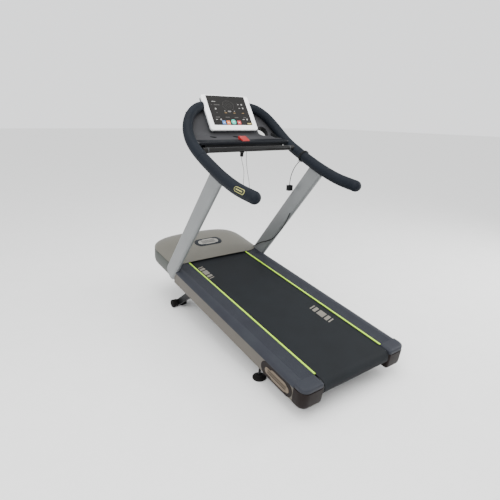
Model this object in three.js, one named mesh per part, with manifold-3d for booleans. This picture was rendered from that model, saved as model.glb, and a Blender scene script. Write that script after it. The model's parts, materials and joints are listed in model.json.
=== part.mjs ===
// A commercial running machine with a powered incline, in millimetres, +Z up.
// +Y runs forward, from the rear roller to the motor hood, and +X is the runner's right.
// The running deck is drawn level in its own group, which is then raised at the front.
import * as THREE from 'three';
import { mergeVertices } from 'three/addons/utils/BufferGeometryUtils.js';
import Module from 'manifold-3d';

const wasm = await Module();
wasm.setup();

// ---- Driving dimensions ----
const GAP = 0.3; // between pieces that touch
const INCLINE_AT_REST = 7.4; // degrees that the deck is raised as stored
const ORIGIN_SHIFT_Y = -73.4; // puts the origin under the middle of the machine's length

// Running deck
const BELT_TOP = 190;
const BELT_HALF_WIDTH = 244;
const BELT_THICK = 2.5;
const BELT_PLAY = 0.6; // between the belt and its rollers
const ROLLER_RADIUS = 39.5;
const REAR_ROLLER_Y = -815;
const FRONT_ROLLER_Y = 642;
const DECK_THICK = 25;
const DECK_HALF_WIDTH = 270;
const AXLE_RADIUS = 8.5;
const RUNNING_FIT = 0.05; // radial, roller tube on its axle

// Frame
const RAIL_INNER_X = 280;
const RAIL_WIDTH = 40;
const RAIL_HEIGHT = 60;
const RAIL_WALL = 3;
const RAIL_FRONT_Y = 900;
const RAIL_REAR_Y = -806;

// Side rails and trim
const FOOTRAIL_INNER_X = 246;
const FOOTRAIL_OUTER_X = 389;
const FOOTRAIL_FLAT_X = 350;
const FOOTRAIL_TOP = 196.5;
const FOOTRAIL_EDGE_Z = 168;
const FOOTRAIL_WALL = 6;
const FOOTRAIL_REAR_Y = -784;
const FOOTRAIL_FRONT_Y = 608;
const GROOVE_PITCH = 16;
const GROOVE_DEPTH = 1.2;
const STRIPE_WIDTH = 10;
const STRIPE_THICK = 4;
const SKIRT_OUTER_X = 383;
const SKIRT_BOTTOM = 75;
const SKIRT_WALL = 4;
const CAP_REAR_Y = -860;
const CAP_INNER_X = 250;
const CAP_BOTTOM = 69;
const CAP_CORNER_R = 46;

// Motor hood
const HOOD_REAR_Y = 560;
const HOOD_CORNER = [90, 114]; // how far the rear corners are rounded, along Y and along X
const HOOD_SHOULDER_Y = 800;
const HOOD_NOSE_Y = 1045;
const HOOD_NOSE_POWER = 3; // 2 would make its plan an ellipse in front of the shoulder
const HOOD_HALF_WIDTH = 384;
const HOOD_SEAM_Z = 200;
const HOOD_WALL = 4;
const HOOD_BOTTOM = 84;
const HOOD_LOWER_REAR_Y = 616;
const HOOD_HEIGHTS = [
  [560, 6], [568, 9], [590, 17], [620, 26], [650, 34], [720, 48], [790, 60], [850, 66],
  [905, 64], [955, 54], [1005, 34], [1036, 14], [1045, 6],
];

// Uprights and handles
const UPRIGHT_X = 377;
const UPRIGHT_THICK = 34;
const UPRIGHT_WIDTH = 117;
const UPRIGHT_WALL = 4;
const UPRIGHT_EDGE_R = 16;
const UPRIGHT_FOOT = [612, 105]; // y and z of the middle of its lower end
const UPRIGHT_LEAN = 0.65; // forward travel for each unit of drop
const GRIP_RADIUS = 34;
const CORE_RADIUS = 16;
const CORE_FIT = 1.2;
const GRIP_SEAM_Y = 225;
const CAP_COLLAR = 14;
const GRIP_CLEARANCE = 1.3; // grip to its cap, and to the upright cut around it
const HANDLE_PATH = [
  [366, -296, 965], [370, -150, 968], [372, 0, 990], [371, 120, 1018], [370, 230, 1048], [366, 340, 1085],
  [358, 420, 1128], [335, 490, 1183], [290, 545, 1238], [220, 585, 1278], [120, 615, 1288], [0, 625, 1285], [-12, 625, 1285],
];
const RIM_END_RADIUS = 29;

// Console
const CROSSBAR_RADIUS = 16;
const CROSSBAR_YZ = [272, 1076];
const DISPLAY_BASE = [461, 1161]; // y and z of the middle of the display's lower front edge
const DISPLAY_SLOPE = 49.5;
const DISPLAY_WIDTH = 364;
const DISPLAY_HEIGHT = 257;
const BEZEL_SIDE = 33;
const BEZEL_BOTTOM = 35;
const BEZEL_TOP = 6;
const BEZEL_DEPTH = 16;
const SCREEN_THICK = 3.5;
const SCREEN_RECESS = 1.5;
const HOUSING_DEPTH = 36;
const HOUSING_INSET = 6;
const LIP_YZ = [325, 1110];
const LEDGE_REAR_Y = 462;
const LEDGE_RISE = 0.095;
const PANEL_THICK = 6;
const PANEL_TOP_Y = 607;
const BACK_WALL = 4;
const HOLDER_CENTRE = [241, 489, 1139]; // the round opening beside the display
const HOLDER_RADIUS = 40;
const HOLDER_WALL = 3;
const HOLDER_DEPTH = 24;
const STOP_CENTRE = [1, 362];
const STOP_SIZE = [54, 60, 15];
const STOP_PROUD = 9;
const BUTTON_FIT = 0.8;
const KEY_THICK = 7.5;
const KEY_PROUD = 1.2;
const KEY_FIT = 0.4;
const KEYS = [
  ['key_blue', -70, 54, 24, 28, 0x7f9ec9],
  ['key_orange', -36, 54, 27, 28, 0xe8a27a],
  ['key_teal', 5, 59, 37, 37, 0x3fd3c0],
  ['key_red', 47, 54, 27, 28, 0xdf5c58],
];

// Feet, lift arm and its screw
const FOOT_X = 330;
const FOOT_BALL = [-460, -20]; // y and z of the ball on the deck
const FOOT_BALL_HEIGHT = 26; // above the floor
const BALL_RADIUS = 9;
const STUD_RADIUS = 7.5;
const PAD_RADIUS = 39;
const WHEEL_RADIUS = 29;
const WHEEL_X = 300;
const WHEEL_TREAD = 45;
const WHEEL_NECK = 26;
const WHEEL_NECK_RADIUS = 14;
const ARM_PIVOT = [390, 55];
const ARM_LENGTH = 314;
const ARM_THICK = 22;
const ARM_TUBE_RADIUS = 16;
const CRANK_SHARE = 172; // from the pivot to the cross tube that the screw pushes
const CRANK_RADIUS = 13;
const BEARING_GAP = 0.3;
const LIFT_PIVOT = [780, 122];
const ROD_TIP = 205;
const SCREW_RADIUS = 13;
const EYE_CLEARANCE = 8; // play left at the pivot where the linkage is opened

// Drive motor
const MOTOR_YZ = [792, 206];
const MOTOR_RADIUS = 39;
const MOTOR_PULLEY_RADIUS = 19;
const ROLLER_PULLEY_RADIUS = 43;
const DRIVE_X = -260;
const DRIVE_BELT_WIDTH = 16;
const DRIVE_BELT_THICK = 3;
const PAN_THICK = 3;
const PAN_REAR_Y = 722;

// Cords, as points in the outer frame
const STRING_DIAMETER = 3;
const HANDLE_STRING_DIAMETER = 5;
const SAFETY_STRING = [
  [-68, 63.8, 1159], [-67, 63.8, 1146], [-63, 63.8, 1128], [-56, 63.8, 1104], [-50, 63.7, 1077],
  [-49, 63.4, 1045], [-52, 62.9, 1010], [-53, 62.4, 975], [-50, 61.4, 945], [-42, 60.9, 922], [-30, 60.4, 912],
  [-18, 59.9, 922], [-10, 59.4, 945], [-8, 58.9, 975], [-13, 58.4, 1010], [-21, 58, 1045],
  [-28, 57.8, 1080], [-33, 57.7, 1115], [-35, 57.7, 1150], [-35, 57.7, 1190],
];
const HANDLE_STRING = [
  [340, -27.6, 1126], [337, -18.1, 1117], [335, -8.6, 1108], [333, -0.1, 1098], [331.5, 7.9, 1087.5],
  [329.5, 14.9, 1076], [327.5, 20.9, 1064.5], [326, 25.9, 1052], [324, 30.4, 1039.5], [322.5, 33.9, 1027],
  [321, 36.9, 1014], [320, 38.9, 1001], [319, 40.4, 987.5], [318.5, 41.4, 974.5], [318, 41.4, 961],
];
const CABLE_DIAMETER = 6;
const UPRIGHT_CABLE = [
  [355.5, 67.4, 752], [353, 79.9, 721], [352.5, 94.9, 691], [352, 112.4, 663], [352, 132.4, 636],
  [352, 153.4, 610], [352, 176.4, 585.5], [352, 199.9, 561.5], [352, 223.9, 538.5], [352, 249.9, 517.5],
  [352, 278.9, 500.5], [352, 308.9, 486], [352, 339.4, 472.5], [352, 370.4, 460.5], [352, 400.9, 446.5],
  [351, 430.4, 431], [349.5, 459.4, 414], [346, 486.4, 395],
];
const SOCKET_X = -68;
const CLIP_SIZE = [38, 32, 40];

// ---- Values that follow from them ----
const tilt = THREE.MathUtils.degToRad(INCLINE_AT_REST);
const beltRadius = ROLLER_RADIUS + BELT_PLAY + BELT_THICK;
const rollerZ = BELT_TOP - beltRadius;
const deckTop = BELT_TOP - BELT_THICK - GAP;
const deckBottom = deckTop - DECK_THICK;
const railTop = deckBottom - GAP;
const railBottom = railTop - RAIL_HEIGHT;
const panTop = railTop + GAP + PAN_THICK;
const railOuterX = RAIL_INNER_X + RAIL_WIDTH;
const liftZ = FOOT_BALL_HEIGHT - FOOT_BALL[0] * Math.sin(tilt) - FOOT_BALL[1] * Math.cos(tilt);

const colours = {
  black: 0x1b1c1e, steel: 0x3a3d40, bright: 0xb4b8ba, charcoal: 0x2f3133, rail: 0x4b555f, lime: 0xc8ee50,
  skirt: 0x96918a, hood: 0x918e86, upright: 0x9aa0a0, handle: 0x34393f, silver: 0xdfe2e1, screen: 0x35363a,
  cap: 0x3a332f, red: 0xe04848, board: 0x6f5f4a, motor: 0x55585a, cord: 0xb9b9b4,
};
const root = new THREE.Group();
const deck = new THREE.Group();
deck.rotation.x = tilt;
deck.position.set(0, ORIGIN_SHIFT_Y, liftZ);
root.add(deck);

// ---- Small tools ----
function addMesh(group, name, geometry, colour, roughness = 0.6, metalness = 0) {
  const material = new THREE.MeshStandardMaterial({ color: colour, roughness, metalness });
  const mesh = new THREE.Mesh(geometry, material);
  mesh.name = name;
  group.add(mesh);
  return mesh;
}

function solid(geometry) {
  const bare = geometry.clone();
  bare.deleteAttribute('normal');
  bare.deleteAttribute('uv');
  const merged = mergeVertices(bare, 1e-4);
  const vertProperties = Float32Array.from(merged.attributes.position.array);
  const triVerts = Uint32Array.from(merged.index.array);
  return new wasm.Manifold(new wasm.Mesh({ numProp: 3, vertProperties, triVerts }));
}

function surface(manifold) {
  const mesh = manifold.getMesh();
  const geometry = new THREE.BufferGeometry();
  geometry.setAttribute('position', new THREE.BufferAttribute(Float32Array.from(mesh.vertProperties), 3));
  geometry.setIndex(new THREE.BufferAttribute(Uint32Array.from(mesh.triVerts), 1));
  return geometry;
}

function cut(geometry, ...tools) {
  return surface(tools.reduce((body, tool) => body.subtract(solid(tool)), solid(geometry)));
}

function join(...geometries) {
  return surface(geometries.map(solid).reduce((body, next) => body.add(next)));
}

function common(a, b) {
  return surface(solid(a).intersect(solid(b)));
}

function outlineShape(points, holes = []) {
  const shape = new THREE.Shape(points.map(([a, b]) => new THREE.Vector2(a, b)));
  shape.holes = holes.map((hole) => new THREE.Path(hole.map(([a, b]) => new THREE.Vector2(a, b))));
  return shape;
}

// A profile in Y and Z, carried along X.
function alongX(points, x0, x1, holes = []) {
  const geometry = new THREE.ExtrudeGeometry(outlineShape(points, holes), { depth: x1 - x0, bevelEnabled: false });
  const basis = new THREE.Matrix4().makeBasis(
    new THREE.Vector3(0, 1, 0), new THREE.Vector3(0, 0, 1), new THREE.Vector3(1, 0, 0));
  return geometry.applyMatrix4(basis).translate(x0, 0, 0);
}

// A profile in X and Z, carried along Y.
function alongY(points, y0, y1, holes = []) {
  const geometry = new THREE.ExtrudeGeometry(outlineShape(points, holes), { depth: y1 - y0, bevelEnabled: false });
  return geometry.rotateX(Math.PI / 2).translate(0, y1, 0);
}

// A profile in X and Y, carried up Z.
function alongZ(points, z0, z1, holes = []) {
  const geometry = new THREE.ExtrudeGeometry(outlineShape(points, holes), { depth: z1 - z0, bevelEnabled: false });
  return geometry.translate(0, 0, z0);
}

function box(x0, x1, y0, y1, z0, z1) {
  const geometry = new THREE.BoxGeometry(x1 - x0, y1 - y0, z1 - z0);
  return geometry.translate((x0 + x1) / 2, (y0 + y1) / 2, (z0 + z1) / 2);
}

function ring(radius, count, centre = [0, 0]) {
  return Array.from({ length: count }, (unused, i) => {
    const a = (2 * Math.PI * i) / count;
    return [centre[0] + radius * Math.cos(a), centre[1] + radius * Math.sin(a)];
  });
}

// Radii along an axis, as [radius, distance] pairs, turned about X.
function turnedX(pairs, x, y, z, sides = 24) {
  const geometry = new THREE.LatheGeometry(pairs.map(([r, d]) => new THREE.Vector2(r, d)), sides);
  return geometry.rotateZ(-Math.PI / 2).translate(x, y, z);
}

function turnedZ(pairs, sides = 24) {
  const geometry = new THREE.LatheGeometry(pairs.map(([r, d]) => new THREE.Vector2(r, d)), sides);
  return geometry.rotateX(Math.PI / 2);
}

function roundedRect(width, height, radius, steps = 5) {
  const points = [];
  const corners = [[1, 1, 0], [-1, 1, 1], [-1, -1, 2], [1, -1, 3]];
  for (const [sx, sy, quarter] of corners) {
    for (let i = 0; i <= steps; i += 1) {
      const a = (Math.PI / 2) * (quarter + i / steps);
      const cx = sx * (width / 2 - radius);
      const cy = sy * (height / 2 - radius);
      points.push([cx + radius * Math.cos(a), cy + radius * Math.sin(a)]);
    }
  }
  return points;
}

// A closed body through rings that all have the same number of points.
function loft(rings) {
  const count = rings[0].length;
  const positions = rings.flat().flatMap((p) => [p.x, p.y, p.z]);
  const index = [];
  for (let k = 0; k + 1 < rings.length; k += 1) {
    for (let i = 0; i < count; i += 1) {
      const a = k * count + i;
      const b = k * count + ((i + 1) % count);
      index.push(a, b, b + count, a, b + count, a + count);
    }
  }
  for (const [k, flip] of [[0, true], [rings.length - 1, false]]) {
    const middle = rings[k].reduce((sum, p) => sum.add(p), new THREE.Vector3()).divideScalar(count);
    const centre = positions.length / 3;
    positions.push(middle.x, middle.y, middle.z);
    for (let i = 0; i < count; i += 1) {
      const a = k * count + i;
      const b = k * count + ((i + 1) % count);
      index.push(centre, ...(flip ? [b, a] : [a, b]));
    }
  }
  const geometry = new THREE.BufferGeometry();
  geometry.setAttribute('position', new THREE.Float32BufferAttribute(positions, 3));
  geometry.setIndex(index);
  return geometry;
}

function mirrored(geometry) {
  return surface(solid(geometry).mirror([1, 0, 0]));
}

function pathCurve(points) {
  return new THREE.CatmullRomCurve3(points.map((p) => new THREE.Vector3(...p)), false, 'centripetal');
}

function shareAtY(curve, y) {
  let low = 0;
  let high = 1;
  for (let i = 0; i < 40; i += 1) {
    const middle = (low + high) / 2;
    if (curve.getPointAt(middle).y < y) low = middle;
    else high = middle;
  }
  return low;
}

// A round tube between two shares of a curve's length; an inner radius leaves it open.
function tube(curve, from, to, radius, inner, sides, steps) {
  const points = Array.from({ length: steps + 1 }, (unused, i) => curve.getPointAt(from + ((to - from) * i) / steps));
  const path = new THREE.CatmullRomCurve3(points, false, 'centripetal');
  const holes = inner ? [ring(inner, sides)] : [];
  return new THREE.ExtrudeGeometry(outlineShape(ring(radius, sides), holes), { steps, extrudePath: path });
}

// The same, with a radius that changes along the way.
function taperedTube(curve, from, to, radiusAt, sides, steps) {
  const up = new THREE.Vector3(0, 0, 1);
  const rings = [];
  for (let k = 0; k <= steps; k += 1) {
    const share = from + ((to - from) * k) / steps;
    const centre = curve.getPointAt(share);
    const ahead = curve.getTangentAt(share);
    const side = new THREE.Vector3().crossVectors(ahead, up).normalize();
    const over = new THREE.Vector3().crossVectors(side, ahead);
    const radius = radiusAt(k / steps);
    rings.push(ring(radius, sides).map(([a, b]) => centre.clone().addScaledVector(side, -a).addScaledVector(over, b)));
  }
  return loft(rings);
}

// ---- Running deck and drive ----
function stadium(y0, y1, z, radius, steps = 12) {
  const points = [];
  for (const [y, start] of [[y1, -Math.PI / 2], [y0, Math.PI / 2]]) {
    for (let i = 0; i <= steps; i += 1) {
      const a = start + (Math.PI * i) / steps;
      points.push([y + radius * Math.cos(a), z + radius * Math.sin(a)]);
    }
  }
  return points;
}

function makeRunningBelt() {
  const outer = stadium(REAR_ROLLER_Y, FRONT_ROLLER_Y, rollerZ, beltRadius);
  const inner = stadium(REAR_ROLLER_Y, FRONT_ROLLER_Y, rollerZ, ROLLER_RADIUS + BELT_PLAY);
  const geometry = alongX(outer, -BELT_HALF_WIDTH, BELT_HALF_WIDTH, [inner]);
  addMesh(deck, 'running_belt', geometry, colours.charcoal, 0.9);
}

function makeRollers() {
  const sides = 24;
  const bore = (AXLE_RADIUS + RUNNING_FIT) / Math.cos(Math.PI / sides); // clear of the axle's corners at any angle
  const half = BELT_HALF_WIDTH + 4;
  const tubeProfile = [[bore, -half], [ROLLER_RADIUS, -half], [ROLLER_RADIUS, half], [bore, half], [bore, -half]];
  addMesh(deck, 'rear_roller', turnedX(tubeProfile, 0, REAR_ROLLER_Y, rollerZ, sides), colours.bright, 0.3, 0.9);
  const wheel = DRIVE_BELT_WIDTH / 2 + 1;
  const left = -(DRIVE_X + half) - wheel;
  const pulleyEnd = half + 2;
  const pulleyFace = -DRIVE_X + wheel;
  const driven = [
    [bore, -half], [ROLLER_RADIUS, -half], [ROLLER_RADIUS, half], [24, half], [24, pulleyEnd],
    [ROLLER_PULLEY_RADIUS, pulleyEnd], [ROLLER_PULLEY_RADIUS, pulleyFace], [bore, pulleyFace], [bore, -half],
  ];
  const front = turnedX(driven, 0, 0, 0, sides).rotateZ(Math.PI).translate(0, FRONT_ROLLER_Y, rollerZ);
  addMesh(deck, 'front_roller', front, colours.bright, 0.3, 0.9);
  const reach = RAIL_INNER_X - GAP;
  for (const [name, y] of [['rear_roller_axle', REAR_ROLLER_Y], ['front_roller_axle', FRONT_ROLLER_Y]]) {
    const axle = [[0, -reach], [AXLE_RADIUS, -reach], [AXLE_RADIUS, reach], [0, reach]];
    addMesh(deck, name, turnedX(axle, 0, y, rollerZ, sides), colours.steel, 0.35, 0.9);
  }
}

function makeDeckBoard() {
  const y0 = REAR_ROLLER_Y + beltRadius + 8;
  const y1 = FRONT_ROLLER_Y - beltRadius - 8;
  addMesh(deck, 'deck_board', box(-DECK_HALF_WIDTH, DECK_HALF_WIDTH, y0, y1, deckBottom, deckTop), colours.board, 0.7);
}

function makeMotor() {
  const [y, z] = MOTOR_YZ;
  const shaft = 7;
  const bodyEnd = -DRIVE_X - 22;
  const bodyStart = 40;
  const fan = 8;
  const body = [
    [shaft + 0.5, bodyStart], [MOTOR_RADIUS - 6, bodyStart], [MOTOR_RADIUS, bodyStart + 8], [MOTOR_RADIUS, bodyEnd - 8],
    [MOTOR_RADIUS - 6, bodyEnd], [shaft + 0.5, bodyEnd], [shaft + 0.5, bodyStart],
  ];
  const turned = turnedX(body, 0, 0, 0, 18).rotateZ(Math.PI).translate(0, y, z);
  const foot = box(-bodyEnd + 30, -bodyStart - 30, y - 34, y + 34, panTop + GAP, z - MOTOR_RADIUS + 8);
  addMesh(deck, 'motor_body', join(turned, foot), colours.motor, 0.5, 0.5);
  const half = DRIVE_BELT_WIDTH / 2 + 1;
  const rotor = [
    [0, bodyStart - 24], [MOTOR_RADIUS - 4, bodyStart - 24], [MOTOR_RADIUS - 4, bodyStart - fan], [shaft, bodyStart - fan],
    [shaft, bodyEnd + 6], [MOTOR_PULLEY_RADIUS, -DRIVE_X - half], [MOTOR_PULLEY_RADIUS, -DRIVE_X + half], [0, -DRIVE_X + half],
  ];
  const spun = turnedX(rotor, 0, 0, 0, 18).rotateZ(Math.PI).translate(0, y, z);
  addMesh(deck, 'motor_rotor', spun, colours.bright, 0.35, 0.9);
}

// The outline of a belt over two wheels, leaving each where the straight run touches it.
function beltOutline(big, small, bigRadius, smallRadius, steps = 12) {
  const dy = small[0] - big[0];
  const dz = small[1] - big[1];
  const along = Math.atan2(dz, dy);
  const lean = Math.acos((bigRadius - smallRadius) / Math.hypot(dy, dz));
  const points = [];
  for (let i = 0; i <= steps; i += 1) {
    const a = along - lean + (2 * lean * i) / steps;
    points.push([small[0] + smallRadius * Math.cos(a), small[1] + smallRadius * Math.sin(a)]);
  }
  for (let i = 0; i <= steps; i += 1) {
    const a = along + lean + ((2 * Math.PI - 2 * lean) * i) / steps;
    points.push([big[0] + bigRadius * Math.cos(a), big[1] + bigRadius * Math.sin(a)]);
  }
  return points;
}

function makeDriveBelt() {
  const roller = [FRONT_ROLLER_Y, rollerZ];
  const play = 1.1;
  const inner = beltOutline(roller, MOTOR_YZ, ROLLER_PULLEY_RADIUS + play, MOTOR_PULLEY_RADIUS + play);
  const thick = play + DRIVE_BELT_THICK;
  const outer = beltOutline(roller, MOTOR_YZ, ROLLER_PULLEY_RADIUS + thick, MOTOR_PULLEY_RADIUS + thick);
  const half = DRIVE_BELT_WIDTH / 2;
  addMesh(deck, 'drive_belt', alongX(outer, DRIVE_X - half, DRIVE_X + half, [inner]), colours.black, 0.8);
}

function makeMotorPan() {
  const half = railOuterX;
  const pan = box(-half, half, PAN_REAR_Y, RAIL_FRONT_Y - 4, railTop + GAP, panTop);
  const liftSpace = box(-60, 60, PAN_REAR_Y - 5, 880, railTop - 5, panTop + 5);
  const beltSpace = box(DRIVE_X - 16, DRIVE_X + 16, PAN_REAR_Y - 5, 800, railTop - 5, panTop + 5);
  addMesh(deck, 'motor_pan', cut(pan, liftSpace, beltSpace), colours.steel, 0.5, 0.7);
}

function makeInverter() {
  const shell = box(70, 230, 735, 870, panTop + GAP, panTop + 58);
  addMesh(deck, 'inverter_box', shell, colours.motor, 0.5, 0.4);
}

// ---- Frame ----
function makeFrame() {
  const holeSides = 20;
  for (const [name, side] of [['frame_rail_left', -1], ['frame_rail_right', 1]]) {
    const x0 = side > 0 ? RAIL_INNER_X : -railOuterX;
    const x1 = x0 + RAIL_WIDTH;
    const w = RAIL_WALL;
    const section = [[x0, railBottom], [x1, railBottom], [x1, railTop], [x0, railTop]];
    const hollow = [[x0 + w, railBottom + w], [x0 + w, railTop - w], [x1 - w, railTop - w], [x1 - w, railBottom + w]];
    const rail = alongY(section, RAIL_REAR_Y, RAIL_FRONT_Y, [hollow]);
    const lugX = side * (FOOT_X + 16);
    const lug = box(Math.min(side * (railOuterX - 1), lugX), Math.max(side * (railOuterX - 1), lugX),
      FOOT_BALL[0] - 20, FOOT_BALL[0] + 20, railBottom, railBottom + 24);
    const lugHole = alongZ(ring(STUD_RADIUS + GAP, holeSides, [side * FOOT_X, FOOT_BALL[0]]), railBottom - 5, railTop);
    const earX0 = side > 0 ? WHEEL_X + ARM_THICK / 2 + 1 : -railOuterX;
    const earX1 = side > 0 ? railOuterX : -(WHEEL_X + ARM_THICK / 2 + 1);
    const [py, pz] = ARM_PIVOT;
    const ear = alongX([[py - 34, railBottom + 1], [py - 22, pz - 24], [py + 22, pz - 24], [py + 34, railBottom + 1]],
      earX0, earX1);
    const earHole = alongX(ring(ARM_TUBE_RADIUS + BEARING_GAP, 20, ARM_PIVOT), earX0 - 5, earX1 + 5);
    addMesh(deck, name, cut(join(rail, lug, ear), lugHole, earHole), colours.steel, 0.5, 0.7);
  }
  const inside = RAIL_INNER_X - GAP;
  addMesh(deck, 'rear_crossmember',
    box(-inside, inside, -560, -515, rollerZ - ROLLER_RADIUS + 6, deckBottom - 3), colours.steel, 0.5, 0.7);
  const outside = UPRIGHT_X - UPRIGHT_THICK / 2 - GAP;
  const mid = UPRIGHT_FOOT[0] - 14;
  addMesh(deck, 'front_crossmember',
    box(-outside, outside, mid - 16, mid + 16, railBottom - 29, railBottom - GAP), colours.steel, 0.5, 0.7);
}

// ---- Side rails, stripes, skirts and rear caps ----
function footrailOutline() {
  const points = [[FOOTRAIL_INNER_X, deckTop + GAP], [FOOTRAIL_INNER_X, FOOTRAIL_TOP - STRIPE_THICK + 0.5]];
  const step = FOOTRAIL_INNER_X + STRIPE_WIDTH + GAP;
  points.push([step, FOOTRAIL_TOP - STRIPE_THICK + 0.5], [step, FOOTRAIL_TOP]);
  for (let x = step + GROOVE_PITCH; x < FOOTRAIL_FLAT_X - GROOVE_PITCH / 2; x += GROOVE_PITCH) {
    points.push([x - 1.5, FOOTRAIL_TOP], [x, FOOTRAIL_TOP - GROOVE_DEPTH], [x + 1.5, FOOTRAIL_TOP]);
  }
  const wide = FOOTRAIL_OUTER_X - FOOTRAIL_FLAT_X;
  const deep = FOOTRAIL_TOP - FOOTRAIL_EDGE_Z;
  for (let i = 0; i <= 6; i += 1) {
    const a = (Math.PI / 12) * i;
    points.push([FOOTRAIL_FLAT_X + wide * Math.sin(a), FOOTRAIL_EDGE_Z + deep * Math.cos(a)]);
  }
  for (let i = 6; i >= 0; i -= 1) {
    const a = (Math.PI / 12) * i;
    const w = FOOTRAIL_WALL;
    points.push([FOOTRAIL_FLAT_X + (wide - w) * Math.sin(a), FOOTRAIL_EDGE_Z + (deep - w) * Math.cos(a)]);
  }
  points.push([DECK_HALF_WIDTH + 4, FOOTRAIL_TOP - FOOTRAIL_WALL], [DECK_HALF_WIDTH + 4, deckTop + GAP]);
  return points.reverse();
}

function capOutline(inset) {
  const x0 = CAP_INNER_X + inset;
  const x1 = FOOTRAIL_OUTER_X - 3 - inset;
  const y0 = CAP_REAR_Y + inset;
  const r = CAP_CORNER_R - inset;
  const points = [[x1, FOOTRAIL_REAR_Y - GAP], [x0, FOOTRAIL_REAR_Y - GAP]];
  const small = 12;
  for (let i = 0; i <= 3; i += 1) {
    const a = Math.PI + (Math.PI / 6) * i;
    points.push([x0 + small + small * Math.cos(a), y0 + small + small * Math.sin(a)]);
  }
  for (let i = 0; i <= 6; i += 1) {
    const a = -Math.PI / 2 + (Math.PI / 12) * i;
    points.push([x1 - r + r * Math.cos(a), y0 + r + r * Math.sin(a)]);
  }
  return points;
}

function stack(outlineAt, levels) {
  return loft(levels.map(([z, inset]) => outlineAt(inset).map(([x, y]) => new THREE.Vector3(x, y, z))));
}

function makeEndCap() {
  const top = FOOTRAIL_EDGE_Z;
  const outer = stack(capOutline, [[CAP_BOTTOM, 16], [CAP_BOTTOM + 6, 6], [CAP_BOTTOM + 18, 1], [top - 6, 0], [top, 1.5]]);
  const wall = 4;
  const x1 = FOOTRAIL_OUTER_X - 3 - wall;
  const cavity = alongZ([[CAP_INNER_X + wall, CAP_REAR_Y + wall + 14], [CAP_INNER_X + wall + 14, CAP_REAR_Y + wall],
    [x1 - CAP_CORNER_R, CAP_REAR_Y + wall], [x1 - 14, CAP_REAR_Y + wall + 14], [x1, CAP_REAR_Y + wall + CAP_CORNER_R],
    [x1, FOOTRAIL_REAR_Y + 20], [CAP_INNER_X + wall, FOOTRAIL_REAR_Y + 20]], CAP_BOTTOM + 20, top + 10);
  const notch = box(CAP_INNER_X - 5, CAP_INNER_X + 20, REAR_ROLLER_Y - 18, FOOTRAIL_REAR_Y + 10, rollerZ - 18, top + 10);
  return cut(outer, cavity, notch);
}

function makeEndCapPad() {
  const base = FOOTRAIL_EDGE_Z + GAP;
  return stack(capOutline, [[base, 4], [base + 3, 2], [FOOTRAIL_TOP - 8, 2], [FOOTRAIL_TOP - 2, 5], [FOOTRAIL_TOP, 11]]);
}

function makeSides(uprightPocket) {
  const rail = cut(alongY(footrailOutline(), FOOTRAIL_REAR_Y, FOOTRAIL_FRONT_Y), uprightPocket);
  const stripeZ = FOOTRAIL_TOP - STRIPE_THICK + 0.5 + GAP;
  const stripe = box(FOOTRAIL_INNER_X, FOOTRAIL_INNER_X + STRIPE_WIDTH,
    FOOTRAIL_REAR_Y, HOOD_REAR_Y + 6, stripeZ, FOOTRAIL_TOP + 1);
  const x1 = SKIRT_OUTER_X;
  const w = SKIRT_WALL;
  const zb = SKIRT_BOTTOM;
  const lip = 20;
  const channel = [[x1, zb + 8], [x1, FOOTRAIL_EDGE_Z - GAP], [x1 - w, FOOTRAIL_EDGE_Z - GAP], [x1 - w, zb + 9],
    [x1 - 9, zb + w], [x1 - lip, zb + w], [x1 - lip, zb], [x1 - 8, zb]];
  const skirt = cut(alongY(channel.reverse(), FOOTRAIL_REAR_Y, UPRIGHT_FOOT[0] - 80), uprightPocket);
  const cap = makeEndCap();
  const pad = makeEndCapPad();
  const pieces = [
    ['footrail', rail, colours.rail], ['stripe', stripe, colours.lime], ['side_skirt', skirt, colours.skirt],
    ['end_cap', cap, colours.cap], ['end_cap_pad', pad, colours.rail],
  ];
  for (const [name, geometry, colour] of pieces) {
    addMesh(deck, `${name}_right`, geometry, colour);
    addMesh(deck, `${name}_left`, mirrored(geometry), colour);
  }
}

// ---- Motor hood ----
function hoodHalfWidth(y, inset) {
  const reach = HOOD_NOSE_Y - inset - HOOD_SHOULDER_Y;
  if (y <= HOOD_SHOULDER_Y) return HOOD_HALF_WIDTH - inset;
  const share = Math.min(1, (y - HOOD_SHOULDER_Y) / reach);
  return Math.max(24, (HOOD_HALF_WIDTH - inset) * (1 - share ** HOOD_NOSE_POWER) ** (1 / HOOD_NOSE_POWER));
}

// The lid's plan also turns in at its rear corners.
function lidHalfWidth(y, inset) {
  const [length, width] = HOOD_CORNER;
  const back = Math.max(0, HOOD_REAR_Y + length - (y - inset)) / length;
  return hoodHalfWidth(y, inset) - width * (1 - Math.sqrt(Math.max(0, 1 - Math.min(1, back) ** 2)));
}

function domeRings(inset, floorZ) {
  const across = 16;
  const last = HOOD_HEIGHTS.length - 1;
  return HOOD_HEIGHTS.map(([y, height], k) => {
    const at = y + (k === 0 ? inset : 0) - (k === last ? inset : 0);
    const half = lidHalfWidth(at, inset);
    const crown = Math.max(1, height - inset);
    const arch = Array.from({ length: across + 1 }, (unused, i) => {
      const s = Math.sin((Math.PI / 2) * ((2 * i) / across - 1));
      return new THREE.Vector3(half * s, at, HOOD_SEAM_Z + crown * (1 - Math.abs(s) ** 3.4) ** 0.65);
    });
    const foot = [half, -half].map((x) => new THREE.Vector3(x, at, floorZ));
    return floorZ < HOOD_SEAM_Z ? [...arch, ...foot] : arch;
  });
}

function makeHoodUpper(uprightPocket) {
  const outer = loft(domeRings(0, HOOD_SEAM_Z));
  const inner = loft(domeRings(HOOD_WALL, HOOD_SEAM_Z - 5));
  return cut(outer, inner, uprightPocket, mirrored(uprightPocket));
}

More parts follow.
